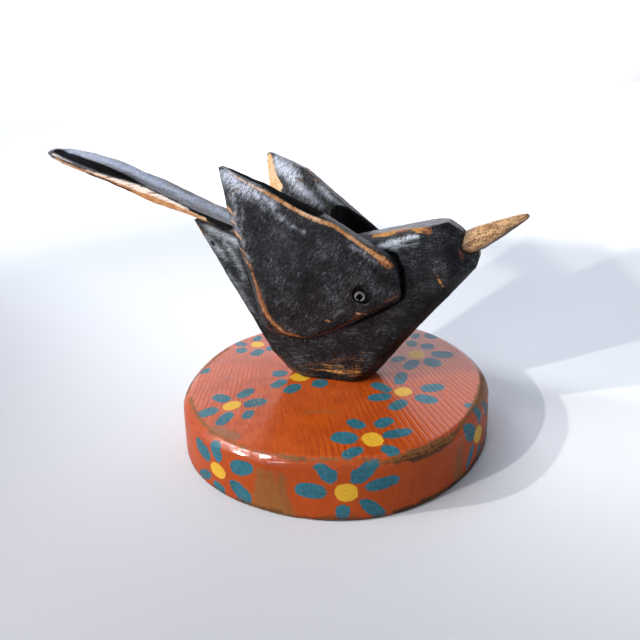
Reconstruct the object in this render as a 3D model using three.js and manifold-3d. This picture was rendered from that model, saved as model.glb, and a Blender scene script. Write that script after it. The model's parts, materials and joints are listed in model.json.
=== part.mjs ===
// Carved wooden bird standing on a painted disc, drawn in millimetres.
//
// Frame: origin at the centre of the disc's underside, +X towards the beak,
// +Y to the bird's left side, +Z up. The camera side of the photograph is -Y.
//
// Pieces: the disc, the body cut from one thick board, the tail strip laid on
// the body's sloping back, two wings screwed to the shoulders, the beak peg and
// the two wing screws. Every piece is a closed solid with a thin gap to the
// piece that it touches.

import * as THREE from 'three';
import { mergeVertices } from 'three/addons/utils/BufferGeometryUtils.js';
import Module from 'manifold-3d';

const wasm = await Module();
wasm.setup();

// Driving dimensions.
const GAP = 0.3;                 // clearance between pieces that touch

const DISC_RADIUS = 78;          // the disc is 156 mm across its underside
const DISC_HEIGHT = 26.4;        // one 25 mm board and its paint
const DISC_TAPER = 1.4;          // the rim leans in this much towards the top
const DISC_CHAMFER = 2.9;        // height of the sloping edge at the top
const DISC_CHAMFER_SLOPE = 1.3;  // its width for each millimetre of height
const DISC_FOOT_CHAMFER = 0.8;   // broken edge at the underside
const DISC_SEGMENTS = 120;
// The rim is sawn by hand. Waves round the turn, in millimetres, with the
// number of swells and the angle of the first one times that number.
const TOP_WAVES = [
  { count: 1, size: 0.96, peak: 101 },
  { count: 2, size: 0.98, peak: -34 },
  { count: 3, size: 1.05, peak: -67 },
  { count: 4, size: 0.6, peak: -114 },
  { count: 5, size: 0.6, peak: 123 },
  { count: 7, size: 0.44, peak: 28 },
];
const FOOT_WAVES = [
  { count: 1, size: 0.45, peak: -170 },
  { count: 2, size: 0.59, peak: -83 },
  { count: 3, size: 0.66, peak: -106 },
  { count: 5, size: 0.49, peak: 72 },
];
const CHAMFER_WAVES = [
  { count: 1, size: 0.26, peak: 126 },
  { count: 2, size: 0.25, peak: 49 },
  { count: 3, size: 0.3, peak: -49 },
  { count: 4, size: 0.3, peak: -110 },
];

const MID_Y = 4.5;               // the bird's own middle plane
const BODY_HALF = 12;            // half of the body board's thickness
const BODY_FOOT_Z = DISC_HEIGHT + GAP;

const WING_THICKNESS = 6.4;      // at the screw
const WING_THINNING = 0.012;     // thickness lost for each millimetre to the rear
const RIGHT_LEAN = 6;            // degrees that the wing tops lean outwards
const LEFT_LEAN = 3;
const RIGHT_SPLAY = 4.5;         // degrees that the wing tips stand off the tail
const LEFT_SPLAY = 6;
const LEFT_TURN = -5;            // degrees that the left wing is screwed on lower
const SCREW_HEAD_DIAMETER = 5;
const SCREW_HEAD_HEIGHT = 1.9;
const SCREW_SHANK_DIAMETER = 3;
const SCREW_LENGTH = 20;
const SCREW_RECESS = 2.5;        // flats of the square drive
const SCREW_RECESS_DEPTH = 1.4;
const BORE_DIAMETER = 9.3;
const BORE_DEPTH = 3.2;

const BEAK_RISE = 27;            // degrees above the horizontal
const BEAK_SIDES = 12;

const RAD = Math.PI / 180;

// Small helpers.
const vec = (x, y, z) => new THREE.Vector3(x, y, z);

/** A point of the near side given by its distance from the middle plane. */
const near = (x, out, z) => vec(x, MID_Y - out, z);

/** The same point on the far side. */
const far = (x, out, z) => vec(x, MID_Y + out, z);

/** Turns a triangle mesh into a solid that can be cut. */
function toSolid(geometry) {
  const bare = geometry.clone();
  bare.deleteAttribute('normal');
  bare.deleteAttribute('uv');
  const merged = mergeVertices(bare, 1e-5);
  const mesh = new wasm.Mesh({
    numProp: 3,
    vertProperties: new Float32Array(merged.attributes.position.array),
    triVerts: new Uint32Array(merged.index.array),
  });
  return new wasm.Manifold(mesh);
}

/** Turns a solid back into a triangle mesh. */
function toGeometry(solid) {
  const mesh = solid.getMesh();
  const geometry = new THREE.BufferGeometry();
  const position = new Float32Array(mesh.vertProperties);
  geometry.setAttribute('position', new THREE.BufferAttribute(position, 3));
  geometry.setIndex(Array.from(mesh.triVerts));
  geometry.computeVertexNormals();
  return geometry;
}

/** Skins rings of equal point counts and closes both ends. */
function skin(rings) {
  const count = rings[0].length;
  const position = rings.flat().flatMap((p) => [p.x, p.y, p.z]);
  const index = [];
  for (let ring = 0; ring + 1 < rings.length; ring += 1) {
    for (let i = 0; i < count; i += 1) {
      const next = (i + 1) % count;
      const a = ring * count + i;
      const b = ring * count + next;
      const c = a + count;
      const d = b + count;
      index.push(a, b, d, a, d, c);
    }
  }
  const last = (rings.length - 1) * count;
  for (const [ring, base, flip] of [[rings[0], 0, true], [rings[rings.length - 1], last, false]]) {
    const flat = flatten(ring);
    for (const [a, b, c] of THREE.ShapeUtils.triangulateShape(flat, [])) {
      index.push(base + a, base + (flip ? c : b), base + (flip ? b : c));
    }
  }
  const geometry = new THREE.BufferGeometry();
  geometry.setAttribute('position', new THREE.Float32BufferAttribute(position, 3));
  geometry.setIndex(index);
  return geometry;
}

/** Lays a nearly flat ring into two dimensions, anticlockwise. */
function flatten(ring) {
  const normal = vec(0, 0, 0);
  ring.forEach((p, i) => {
    const q = ring[(i + 1) % ring.length];
    normal.x += (p.y - q.y) * (p.z + q.z);
    normal.y += (p.z - q.z) * (p.x + q.x);
    normal.z += (p.x - q.x) * (p.y + q.y);
  });
  normal.normalize();
  const side = Math.abs(normal.x) < 0.8 ? vec(1, 0, 0) : vec(0, 1, 0);
  const u = side.sub(normal.clone().multiplyScalar(side.dot(normal))).normalize();
  const v = normal.clone().cross(u);
  return ring.map((p) => new THREE.Vector2(p.dot(u), p.dot(v)));
}

/** A board with a side profile in X and Z, between two Y planes. */
function board(profile, yFrom, yTo) {
  const shape = new THREE.Shape(profile.map(([x, z]) => new THREE.Vector2(x, z)));
  const geometry = new THREE.ExtrudeGeometry(shape, { depth: yTo - yFrom, bevelEnabled: false });
  geometry.rotateX(90 * RAD);
  geometry.translate(0, yTo, 0);
  return toSolid(geometry);
}

/** Everything beyond the plane through three points, seen from inside. */
function beyond(a, b, c, inside) {
  const normal = b.clone().sub(a).cross(c.clone().sub(a)).normalize();
  if (inside.clone().sub(a).dot(normal) > 0) {
    normal.negate();
  }
  const size = 400;
  const block = new THREE.BoxGeometry(size, size, size);
  block.applyQuaternion(new THREE.Quaternion().setFromUnitVectors(vec(0, 0, 1), normal));
  const centre = a.clone().addScaledVector(normal, size / 2);
  block.translate(centre.x, centre.y, centre.z);
  return toSolid(block);
}

/** Planes off everything beyond the plane through three points. */
function plane(solid, a, b, c, inside) {
  return solid.subtract(beyond(a, b, c, inside));
}

/** The same facet carved on both sides of the middle plane. */
function facetPair(solid, points, inside) {
  const [a, b, c] = points;
  const first = plane(solid, near(...a), near(...b), near(...c), inside);
  return plane(first, far(...a), far(...b), far(...c), inside);
}

/** A round bar from one point along a direction. */
function bar(from, direction, radiusFrom, radiusTo, length, sides = 32) {
  const geometry = new THREE.CylinderGeometry(radiusTo, radiusFrom, length, sides, 1);
  geometry.translate(0, length / 2, 0);
  const turn = new THREE.Quaternion().setFromUnitVectors(vec(0, 1, 0), direction);
  geometry.applyQuaternion(turn);
  geometry.translate(from.x, from.y, from.z);
  return geometry;
}

/** Sum of waves round a turn, at an angle in degrees. */
function waves(list, angle) {
  return list.reduce((sum, w) => sum + w.size * Math.cos((w.count * angle - w.peak) * RAD), 0);
}

// Disc.
function makeDisc() {
  const foot = (angle) => DISC_RADIUS + waves(FOOT_WAVES, angle);
  const edge = (angle) => DISC_RADIUS - DISC_TAPER + waves(TOP_WAVES, angle);
  const chamfer = (angle) => DISC_CHAMFER + waves(CHAMFER_WAVES, angle);
  const ring = (radiusAt, heightAt) => {
    const points = [];
    for (let i = 0; i < DISC_SEGMENTS; i += 1) {
      const angle = (i * 360) / DISC_SEGMENTS;
      const radius = radiusAt(angle);
      const flat = vec(radius * Math.cos(angle * RAD), radius * Math.sin(angle * RAD), 0);
      flat.z = heightAt(angle);
      points.push(flat);
    }
    return points;
  };
  return skin([
    ring((angle) => foot(angle) - DISC_FOOT_CHAMFER, () => 0),
    ring(foot, () => DISC_FOOT_CHAMFER),
    ring(edge, (angle) => DISC_HEIGHT - chamfer(angle)),
    ring((angle) => edge(angle) - DISC_CHAMFER_SLOPE * chamfer(angle), () => DISC_HEIGHT),
  ]);
}

// Wings.
// The wing outline is given on the wing's own face: forward from the screw and
// up from the screw, with a rounding radius at each corner and the name of the
// edge that follows it, anticlockwise seen from outside the right wing.
const RIGHT_OUTLINE = [
  { at: [-58.6, 60.4], round: 0.8, edge: 'rear' },
  { at: [-57.6, 40], round: 14, edge: 'rear' },
  { at: [-52.3, 6], round: 22, edge: 'rear' },
  { at: [-49.5, -22.5], round: 15, edge: 'low' },
  { at: [-29, -25.4], round: 12, edge: 'low' },
  { at: [-13, -19.3], round: 20, edge: 'low' },
  { at: [18.4, -2.2], round: 5, edge: 'front' },
  { at: [17.2, 15.8], round: 9, edge: 'top' },
  { at: [-13, 36.8], round: 18, edge: 'top' },
  { at: [-40, 51.8], round: 12, edge: 'top' },
];
// The left wing was cut by eye to the same shape: its tip is blunter and its
// upper edge bends sooner.
const LEFT_OUTLINE = [
  { at: [-61.6, 58.4], round: 2, edge: 'rear' },
  { at: [-61.8, 40], round: 14, edge: 'rear' },
  { at: [-54.6, 6], round: 22, edge: 'rear' },
  { at: [-50.5, -22.5], round: 15, edge: 'low' },
  { at: [-29, -25.4], round: 12, edge: 'low' },
  { at: [-13, -19.3], round: 20, edge: 'low' },
  { at: [18.4, -2.2], round: 5, edge: 'front' },
  { at: [17.2, 14.6], round: 9, edge: 'top' },
  { at: [-38.4, 51.2], round: 5, edge: 'top' },
];
// Width and depth of the whittled bevel along each edge of the outer face.
const WING_BEVELS = {
  rear: { width: 3, depth: 1.8 },
  low: { width: 2.6, depth: 2.4 },
  front: { width: 1.2, depth: 1.4 },
  top: { width: 2.2, depth: 1 },
};
// The same along the edges of the inner face.
const INNER_BEVELS = {
  rear: { width: 0.8, depth: 0.8 },
  low: { width: 1, depth: 0.8 },
  front: { width: 0.8, depth: 0.8 },
  top: { width: 0.5, depth: 0.5 },
};
// Long facet on the inner face by the rear edge, of two flats that meet halfway
// down. Each row is a point of a flat: forward and up from the screw and depth
// below the outer face.
const WING_FACETS = [
  [[-60.4, 57, 4.2], [-50.2, 40.7, 4.6], [-62, 43, 1.4]],
  [[-50.2, 40.7, 4.6], [-48, 4, 4.6], [-62, 43, 1.4]],
];
const WING_INSIDE = [-20, 10, 3];

/** Moves every edge of a cornered outline inwards by its own width. */
function insetCorners(corners, widthOf) {
  const count = corners.length;
  const lines = corners.map((corner, i) => {
    const a = new THREE.Vector2(...corner.at);
    const b = new THREE.Vector2(...corners[(i + 1) % count].at);
    const along = b.sub(a).normalize();
    const inward = new THREE.Vector2(-along.y, along.x);
    return { point: a.addScaledVector(inward, widthOf(corner.edge)), along };
  });
  return corners.map((corner, i) => {
    const one = lines[(i + count - 1) % count];
    const two = lines[i];
    const gap = two.point.clone().sub(one.point);
    const reach = gap.cross(two.along) / one.along.cross(two.along);
    const at = one.point.clone().addScaledVector(one.along, reach);
    return { ...corner, at: [at.x, at.y] };
  });
}

/** Rounds the corners of an outline into short straight cuts. */
function roundedOutline(corners, depthOf, cuts = 5) {
  const count = corners.length;
  const points = [];
  corners.forEach((corner, i) => {
    const previous = corners[(i + count - 1) % count];
    const p = new THREE.Vector2(...corner.at);
    const a = new THREE.Vector2(...previous.at).sub(p);
    const b = new THREE.Vector2(...corners[(i + 1) % count].at).sub(p);
    const half = Math.acos(a.dot(b) / (a.length() * b.length())) / 2;
    const wanted = corner.round / Math.tan(half);
    const reach = Math.min(wanted, 0.45 * Math.min(a.length(), b.length()));
    const start = p.clone().addScaledVector(a.normalize(), reach);
    const end = p.clone().addScaledVector(b.normalize(), reach);
    for (let k = 0; k <= cuts; k += 1) {
      const t = k / cuts;
      const at = start.clone().multiplyScalar((1 - t) * (1 - t));
      at.addScaledVector(p, 2 * t * (1 - t));
      at.addScaledVector(end, t * t);
      const depth = depthOf(previous.edge) * (1 - t) + depthOf(corner.edge) * t;
      points.push({ at, depth });
    }
  });
  return points;
}

/** The directions of one wing: forward, up and outward from its face. */
function wingAxes(side, lean, splay, turn) {
  const outward = vec(
    Math.sin(splay * RAD) * Math.cos(lean * RAD),
    side * Math.cos(splay * RAD) * Math.cos(lean * RAD),
    -Math.sin(lean * RAD),
  );
  const level = vec(Math.cos(splay * RAD), -side * Math.sin(splay * RAD), 0);
  const rise = level.clone().cross(outward).multiplyScalar(side).normalize();
  const c = Math.cos(turn * RAD);
  const s = Math.sin(turn * RAD);
  const forward = level.clone().multiplyScalar(c).addScaledVector(rise, s);
  const up = rise.clone().multiplyScalar(c).addScaledVector(level, -s);
  return { side, forward, up, outward };
}

function makeWing({ axes, origin, outline, bore }) {
  const place = (x, y, depth) => origin.clone()
    .addScaledVector(axes.forward, x)
    .addScaledVector(axes.up, y)
    .addScaledVector(axes.outward, -depth);
  const thicknessAt = (x) => WING_THICKNESS + WING_THINNING * x;
  const ring = (widthOf, depthOf, fromInside = false) => {
    const corners = insetCorners(outline, widthOf);
    return roundedOutline(corners, depthOf).map(({ at, depth }) => (
      place(at.x, at.y, fromInside ? thicknessAt(at.x) - depth : depth)));
  };
  const face = ring((edge) => WING_BEVELS[edge].width, () => 0);
  const edge = ring(() => 0, (name) => WING_BEVELS[name].depth);
  const back = ring(() => 0, (name) => INNER_BEVELS[name].depth, true);
  const inner = ring((name) => INNER_BEVELS[name].width, () => 0, true);
  const rings = axes.side < 0 ? [inner, back, edge, face] : [face, edge, back, inner];
  const [upper, lower] = WING_FACETS.map((points) => (
    beyond(...points.map((point) => place(...point)), place(...WING_INSIDE))));
  // A flat planed on the inner face bears on the body's side.
  const side = MID_Y + axes.side * (BODY_HALF + GAP);
  const seat = [vec(0, side, 0), vec(1, side, 0), vec(0, side, 1)];
  const blank = plane(toSolid(skin(rings)), ...seat, origin);
  const solid = blank.subtract(upper.intersect(lower));
  const drill = axes.outward.clone().negate();
  const radius = BORE_DIAMETER / 2;
  const cup = bar(place(...bore, -2), drill, radius, radius, BORE_DEPTH + 2, 40);
  const shank = SCREW_SHANK_DIAMETER / 2 + GAP;
  const hole = bar(place(0, 0, -2), drill, shank, shank, WING_THICKNESS + 6, 24);
  return solid.subtract(toSolid(cup)).subtract(toSolid(hole));
}

function makeScrew({ axes, origin }) {
  const drill = axes.outward.clone().negate();
  const seat = origin.clone().addScaledVector(drill, BORE_DEPTH - GAP);
  const top = seat.clone().addScaledVector(drill, -SCREW_HEAD_HEIGHT);
  const rim = SCREW_HEAD_DIAMETER / 2;
  const head = toSolid(bar(top, drill, rim, rim * 0.72, SCREW_HEAD_HEIGHT, 32));
  const shank = SCREW_SHANK_DIAMETER / 2;
  const straight = SCREW_LENGTH - 4;
  const middle = seat.clone().addScaledVector(drill, -0.5);
  const stem = toSolid(bar(middle, drill, shank, shank, straight, 20));
  const end = middle.clone().addScaledVector(drill, straight - 0.01);
  const tip = toSolid(bar(end, drill, shank, 0.4, 3.5, 20));
  const drive = new THREE.BoxGeometry(SCREW_RECESS, 2 * SCREW_RECESS_DEPTH, SCREW_RECESS);
  drive.rotateY(45 * RAD);
  drive.applyQuaternion(new THREE.Quaternion().setFromUnitVectors(vec(0, 1, 0), drill));
  drive.translate(top.x, top.y, top.z);
  return head.add(stem).add(tip).subtract(toSolid(drive));
}

// Body.
// Side profile of the body board, anticlockwise from the rear top corner.
const BODY_PROFILE = {
  rearTop: [-64.8, 108.9],
  rearFoot: [-22.5, BODY_FOOT_Z],
  frontFoot: [19, BODY_FOOT_Z],
  frontHeel: [26, 33.6],
  breastMiddle: [45.2, 58],
  breastTop: [67.2, 83.4],
  chin: [69.4, 85.9],
  chinFront: [70.9, 91.2],
  beakLow: [70.2, 94],
  browFoot: [63.3, 102.2],
  crown: [57, 106.6],
  neck: [22, 100.4],
  valley: [-22, 91],
};
const BODY_INSIDE = vec(10, MID_Y, 75);

// Facets carved on both sides. Each row is three points of the facet: forward,
// distance out from the middle plane, height.
const BODY_FACETS = {
  frontTaper: [[12, 12, 50], [12, 12, 100], [60, 8.3, 80]],
  footSide: [[-22, 11.4, BODY_FOOT_Z], [10, 11.4, BODY_FOOT_Z], [0, 12, 31]],
  footRear: [[-24, 5.6, BODY_FOOT_Z], [-15, 10.4, BODY_FOOT_Z], [-27, 10.8, 37]],
  footFront: [[14.5, 9.6, BODY_FOOT_Z], [20.5, 4.6, BODY_FOOT_Z], [26, 10.6, 38]],
  breast: [[31, 5, 38.5], [67, 4.5, 84], [26.7, 10.9, 42]],
  brow: [[57, 4.3, 106.5], [62, 3.3, 102.9], [56, 8.2, 100]],
  cheek: [[52, 7.2, 106.2], [64, 5.2, 99], [55.5, 8.8, 94]],
  chinSide: [[63.5, 5.8, 90], [70.5, 2.8, 91], [66, 5.4, 82]],
};

const NECK_FACETS = {
  neckRoof: [[24, 3.5, 101.2], [50, 7.1, 105.9], [32, 9, 100]],
  neckSide: [[32, 9, 100], [47, 9.2, 102.6], [32, 10.9, 95]],
};

function makeBody(screws, peg) {
  const profile = Object.values(BODY_PROFILE);
  let solid = board(profile, MID_Y - BODY_HALF, MID_Y + BODY_HALF);
  for (const facet of Object.values(BODY_FACETS)) {
    solid = facetPair(solid, facet, BODY_INSIDE);
  }
  // The neck facets stop at the tail seat.
  const [seatX] = BODY_PROFILE.valley;
  const seam = [vec(seatX, 0, 0), vec(seatX, 1, 0), vec(seatX, 0, 1)];
  let front = plane(solid, ...seam, BODY_INSIDE);
  for (const facet of Object.values(NECK_FACETS)) {
    front = facetPair(front, facet, BODY_INSIDE);
  }
  solid = plane(solid, ...seam, vec(seatX - 10, 0, 0)).add(front);
  for (const { axes, origin } of screws) {
    const drill = axes.outward.clone().negate();
    const back = origin.clone().addScaledVector(axes.outward, 1);
    const radius = SCREW_SHANK_DIAMETER / 2 + GAP;
    solid = solid.subtract(toSolid(bar(back, drill, radius, radius, SCREW_LENGTH + 3, 24)));
  }
  return solid.subtract(toSolid(peg));
}

// Tail.
// Stations along the tail: x, height of the top, thickness measured upright,
// half width, width and height of the steep upper facet, and undercut below.
const TAIL_STATIONS = [
  { x: -25, top: 96, thick: 3.4, half: 10.6, run: 0.6, drop: 1.6, under: 0.4 },
  { x: -65, top: 112.6, thick: 3.3, half: 10.4, run: 0.6, drop: 1.6, under: 0.4 },
  { x: -88, top: 123.1, thick: 7, half: 10, run: 0.3, drop: 1.2, under: 0.8 },
  { x: -101, top: 129.2, thick: 7.6, half: 10, run: 3.2, drop: 1.8, under: 0.8 },
  { x: -116, top: 135.3, thick: 7.8, half: 9.8, run: 2, drop: 4.4, under: 0.8 },
  { x: -130, top: 139.5, thick: 7.3, half: 9.6, run: 3.6, drop: 4.2, under: 1 },
  { x: -142, top: 142.9, thick: 6.5, half: 8.8, run: 6.4, drop: 3.4, under: 1.4 },
  { x: -150, top: 143.7, thick: 5, half: 6.2, run: 5.4, drop: 2.2, under: 1.6 },
  { x: -154.5, top: 142.8, thick: 2.6, half: 2.6, run: 2.2, drop: 1, under: 0.8 },
];

function makeTail() {
  const rings = TAIL_STATIONS.map((s) => {
    const low = s.top - s.thick;
    const waist = s.top - s.drop;
    return [
      far(s.x, s.half - s.run, s.top),
      far(s.x, s.half, waist),
      far(s.x, s.half - s.under, low),
      near(s.x, s.half - s.under, low),
      near(s.x, s.half, waist),
      near(s.x, s.half - s.run, s.top),
    ];
  });
  return skin(rings);
}

// Beak.
const BEAK_ROOT = vec(66.6, MID_Y, 97);
const BEAK_AXIS = vec(Math.cos(BEAK_RISE * RAD), 0, Math.sin(BEAK_RISE * RAD));
// Along the beak from its root: distance and radius. The first ones lie in the
// socket inside the head.
const BEAK_STEPS = [
  { at: -6, radius: 3.2 },
  { at: -4, radius: 4.9 },
  { at: 0, radius: 5.3 },
  { at: 4, radius: 5.3 },
  { at: 12.8, radius: 3.9 },
  { at: 20, radius: 2.5 },
  { at: 24.4, radius: 1.5 },
  { at: 26, radius: 0.7 },
];

/** The whittled peg, with an extra skin thickness for cutting its socket. */
function makeBeak(extra = 0) {
  const upright = BEAK_AXIS.clone().cross(vec(0, 1, 0)).normalize();
  const rings = BEAK_STEPS.map((step, k) => {
    const ring = [];
    const stretch = k === 0 ? -extra : 0;
    for (let i = 0; i < BEAK_SIDES; i += 1) {
      const angle = -((i + 0.5) * 360) / BEAK_SIDES;
      const point = BEAK_ROOT.clone().addScaledVector(BEAK_AXIS, step.at + stretch);
      point.addScaledVector(upright, (step.radius + extra) * Math.cos(angle * RAD));
      point.addScaledVector(vec(0, 1, 0), (step.radius + extra) * Math.sin(angle * RAD));
      ring.push(point);
    }
    return ring;
  });
  return skin(rings);
}

// Assembly.
const rightAxes = wingAxes(-1, RIGHT_LEAN, RIGHT_SPLAY, 0);
const leftAxes = wingAxes(1, LEFT_LEAN, LEFT_SPLAY, LEFT_TURN);
// Each screw stands at the origin of its wing; the counterbore of the right one
// was drilled a little off its centre.
const rightWing = {
  axes: rightAxes,
  origin: vec(20.2, -14.4, 75.3),
  outline: RIGHT_OUTLINE,
  bore: [1.4, 1],
};
const leftWing = {
  axes: leftAxes,
  origin: vec(17.4, 2 * MID_Y + 14.6, 72.2),
  outline: LEFT_OUTLINE,
  bore: [0.6, -0.5],
};

const COLOURS = {
  paint: 0xb5482a,
  black: 0x2b2a2c,
  bare: 0xb98a52,
  steel: 0x9a9a98,
};

const part = new THREE.Group();
part.name = 'carved_bird';

function addPiece(name, geometry, colour, roughness, metalness) {
  geometry.computeVertexNormals();
  const material = new THREE.MeshStandardMaterial({ color: colour, roughness, metalness });
  material.name = `${name}_material`;
  const mesh = new THREE.Mesh(geometry, material);
  mesh.name = name;
  part.add(mesh);
}

addPiece('base_disc', makeDisc(), COLOURS.paint, 0.35, 0);
addPiece('body', toGeometry(makeBody([rightWing, leftWing], makeBeak(GAP))), COLOURS.black, 0.5, 0);
addPiece('tail', makeTail(), COLOURS.black, 0.5, 0);
addPiece('wing_right', toGeometry(makeWing(rightWing)), COLOURS.black, 0.5, 0);
addPiece('wing_left', toGeometry(makeWing(leftWing)), COLOURS.black, 0.5, 0);
addPiece('beak', makeBeak(), COLOURS.bare, 0.6, 0);
addPiece('screw_right', toGeometry(makeScrew(rightWing)), COLOURS.steel, 0.35, 1);
addPiece('screw_left', toGeometry(makeScrew(leftWing)), COLOURS.steel, 0.35, 1);

export default part;
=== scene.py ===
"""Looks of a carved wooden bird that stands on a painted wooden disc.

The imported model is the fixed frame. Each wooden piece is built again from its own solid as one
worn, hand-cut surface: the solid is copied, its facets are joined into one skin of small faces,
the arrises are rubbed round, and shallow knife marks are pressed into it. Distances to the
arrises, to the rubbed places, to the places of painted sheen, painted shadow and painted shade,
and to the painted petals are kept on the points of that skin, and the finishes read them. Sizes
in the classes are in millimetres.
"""

import json
import logging
import math
from dataclasses import dataclass
from enum import Enum
from typing import ClassVar

import bpy
import numpy as np
from mathutils import Matrix, Vector
from mathutils.kdtree import KDTree

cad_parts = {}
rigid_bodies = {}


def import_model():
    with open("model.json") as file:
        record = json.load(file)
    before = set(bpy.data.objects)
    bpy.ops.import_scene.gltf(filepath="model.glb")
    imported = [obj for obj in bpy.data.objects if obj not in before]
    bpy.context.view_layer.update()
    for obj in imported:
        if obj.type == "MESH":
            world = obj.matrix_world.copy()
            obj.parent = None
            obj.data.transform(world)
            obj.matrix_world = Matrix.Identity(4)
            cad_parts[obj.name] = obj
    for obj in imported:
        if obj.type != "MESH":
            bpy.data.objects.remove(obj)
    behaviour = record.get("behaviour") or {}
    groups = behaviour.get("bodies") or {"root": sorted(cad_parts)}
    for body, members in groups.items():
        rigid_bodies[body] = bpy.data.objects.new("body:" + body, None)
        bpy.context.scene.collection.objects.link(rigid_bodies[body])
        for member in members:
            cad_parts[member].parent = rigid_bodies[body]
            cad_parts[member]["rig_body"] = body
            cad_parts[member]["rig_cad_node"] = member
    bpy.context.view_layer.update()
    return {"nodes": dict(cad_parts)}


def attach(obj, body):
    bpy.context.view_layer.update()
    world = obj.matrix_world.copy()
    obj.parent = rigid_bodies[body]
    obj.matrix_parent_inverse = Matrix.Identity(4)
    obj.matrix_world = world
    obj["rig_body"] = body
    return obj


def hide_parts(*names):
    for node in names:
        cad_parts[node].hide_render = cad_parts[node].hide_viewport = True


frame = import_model()
LOG = logging.getLogger("bird")
MM = 0.001
OUTSIDE = -6.0  # kept where no stroke or dab is near, in millimetres

Point = tuple[float, float, float]
Colour = tuple[float, float, float]


class Mark(Enum):
    """A distance kept on the points of a skin, by the name that the finish reads."""

    EDGE = "edge_mm"  # away from the nearest arris
    PETAL = "petal_mm"  # deep inside a painted petal
    HEART = "heart_mm"  # deep inside the yellow middle of a flower
    BARE = "bare_mm"  # rubbed through to light wood
    PALE = "pale_mm"  # pale band along an edge: painted glare on the tail's side; on the right wing, whitish worn wood
    BROWN = "brown_mm"  # rubbed thin, rust brown; on the disc, bare umber wood; on the beak, a near-black line along the lower edge
    DARK = "dark_mm"  # without gloss, nearly black: painted shadow by the wings, a real knot hole, and matte strips along the right wing's upper edge and the tail
    PAINTED_SHEEN = "sheen_mm"  # painted sheen: a silvery reflection painted into the colour
    SMUDGE = "smudge_mm"  # dirt on the paint
    SAWN = "sawn_mm"  # sawn wood that shows through the paint
    SCRAPE = "scrape_mm"  # light scratch in the paint
    RED = "red_mm"  # russet stain; on the disc, paint kept whole
    STREAKED = "streaked_mm"  # bare wood in drawn-out streaks
    PAINTED_SHADE = "dusk_mm"  # painted shade: gloss taken away and mixed towards near-black
    GLARE = "glare_mm"  # on the bird, painted glare, the brightest painted sheen; on the disc, a thick clear coat


@dataclass(frozen=True)
class Rub:
    """A line on the surface along which the finish is changed, and its reach at both ends."""

    mark: Mark
    reach: float
    last: float
    line: tuple[Point, ...]

    def depth(self, points: np.ndarray) -> np.ndarray:
        """How deep each point lies within reach of the line.

        Args:
            points: the points in millimetres, one a row.

        Returns:
            The depth in millimetres, below 0 outside.
        """
        line = np.array(self.line, float)
        lengths = np.linalg.norm(np.diff(line, axis=0), axis=1)
        done = np.concatenate(([0.0], np.cumsum(lengths))) / lengths.sum()
        best = np.full(len(points), OUTSIDE)
        for number, start in enumerate(line[:-1]):
            way = line[number + 1] - start
            part = np.clip((points - start) @ way / (way @ way), 0.0, 1.0)
            away = np.linalg.norm(points - start - part[:, None] * way, axis=1)
            share = done[number] + (done[number + 1] - done[number]) * part
            best = np.maximum(best, self.reach + (self.last - self.reach) * share - away)
        return best


def strokes(table: dict[Mark, tuple[tuple[float, ...], ...]]) -> tuple[Rub, ...]:
    """Makes the strokes of a piece.

    Args:
        table: the rows of each mark; a row holds the reach at the start of the line, the reach
            at its end, and three numbers for each place on it, in millimetres.

    Returns:
        The strokes.
    """
    return tuple(Rub(mark, reach, last, tuple(zip(line[::3], line[1::3], line[2::3])))
                 for mark, rows in table.items() for reach, last, *line in rows)


@dataclass(frozen=True)
class Petal:
    """One dab of paint: its middle, the turn of its long axis in degrees, and its half sizes."""

    across: float
    up: float
    turn: float
    long: float
    wide: float


class Wire:
    """A number in a material's node tree, with the usual arithmetic."""

    def __init__(self, bench: "Bench", socket: bpy.types.NodeSocket) -> None:
        """Keeps the bench and the socket.

        Args:
            bench: the bench that the material is made on.
            socket: the output that carries the number.
        """
        self.bench = bench
        self.socket = socket

    def _math(self, operation: str, first: "Wire | float", second: "Wire | float") -> "Wire":
        """Adds one Math node.

        Args:
            operation: the node's operation.
            first: the upper input.
            second: the lower input.

        Returns:
            The node's result.
        """
        return self.bench.node("ShaderNodeMath", {"operation": operation}, {0: first, 1: second})

    def __add__(self, other: "Wire | float") -> "Wire":
        """Sum."""
        return self._math("ADD", self, other)

    def __radd__(self, other: float) -> "Wire":
        """Sum with a number on the left."""
        return self._math("ADD", other, self)

    def __sub__(self, other: "Wire | float") -> "Wire":
        """Difference."""
        return self._math("SUBTRACT", self, other)

    def __rsub__(self, other: float) -> "Wire":
        """Difference with a number on the left."""
        return self._math("SUBTRACT", other, self)

    def __mul__(self, other: "Wire | float") -> "Wire":
        """Product."""
        return self._math("MULTIPLY", self, other)

    def __rmul__(self, other: float) -> "Wire":
        """Product with a number on the left."""
        return self._math("MULTIPLY", other, self)

    def __truediv__(self, other: "Wire | float") -> "Wire":
        """Quotient."""
        return self._math("DIVIDE", self, other)

    def __rtruediv__(self, other: float) -> "Wire":
        """Quotient of a number on the left."""
        return self._math("DIVIDE", other, self)

    def wave(self) -> "Wire":
        """Sine of the number."""
        return self._math("SINE", self, 0.0)

    def most(self, other: "Wire | float") -> "Wire":
        """The larger of the two."""
        return self._math("MAXIMUM", self, other)

    def rise(self, low: float, high: float) -> "Wire":
        """A soft step.

        Args:
            low: where the step begins, result 0.
            high: where the step ends, result 1.

        Returns:
            The step, from 0 to 1.
        """
        return self.bench.node(
            "ShaderNodeMapRange",
            {"interpolation_type": "SMOOTHSTEP"},
            {"Value": self, "From Min": low, "From Max": high},
        )


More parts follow.
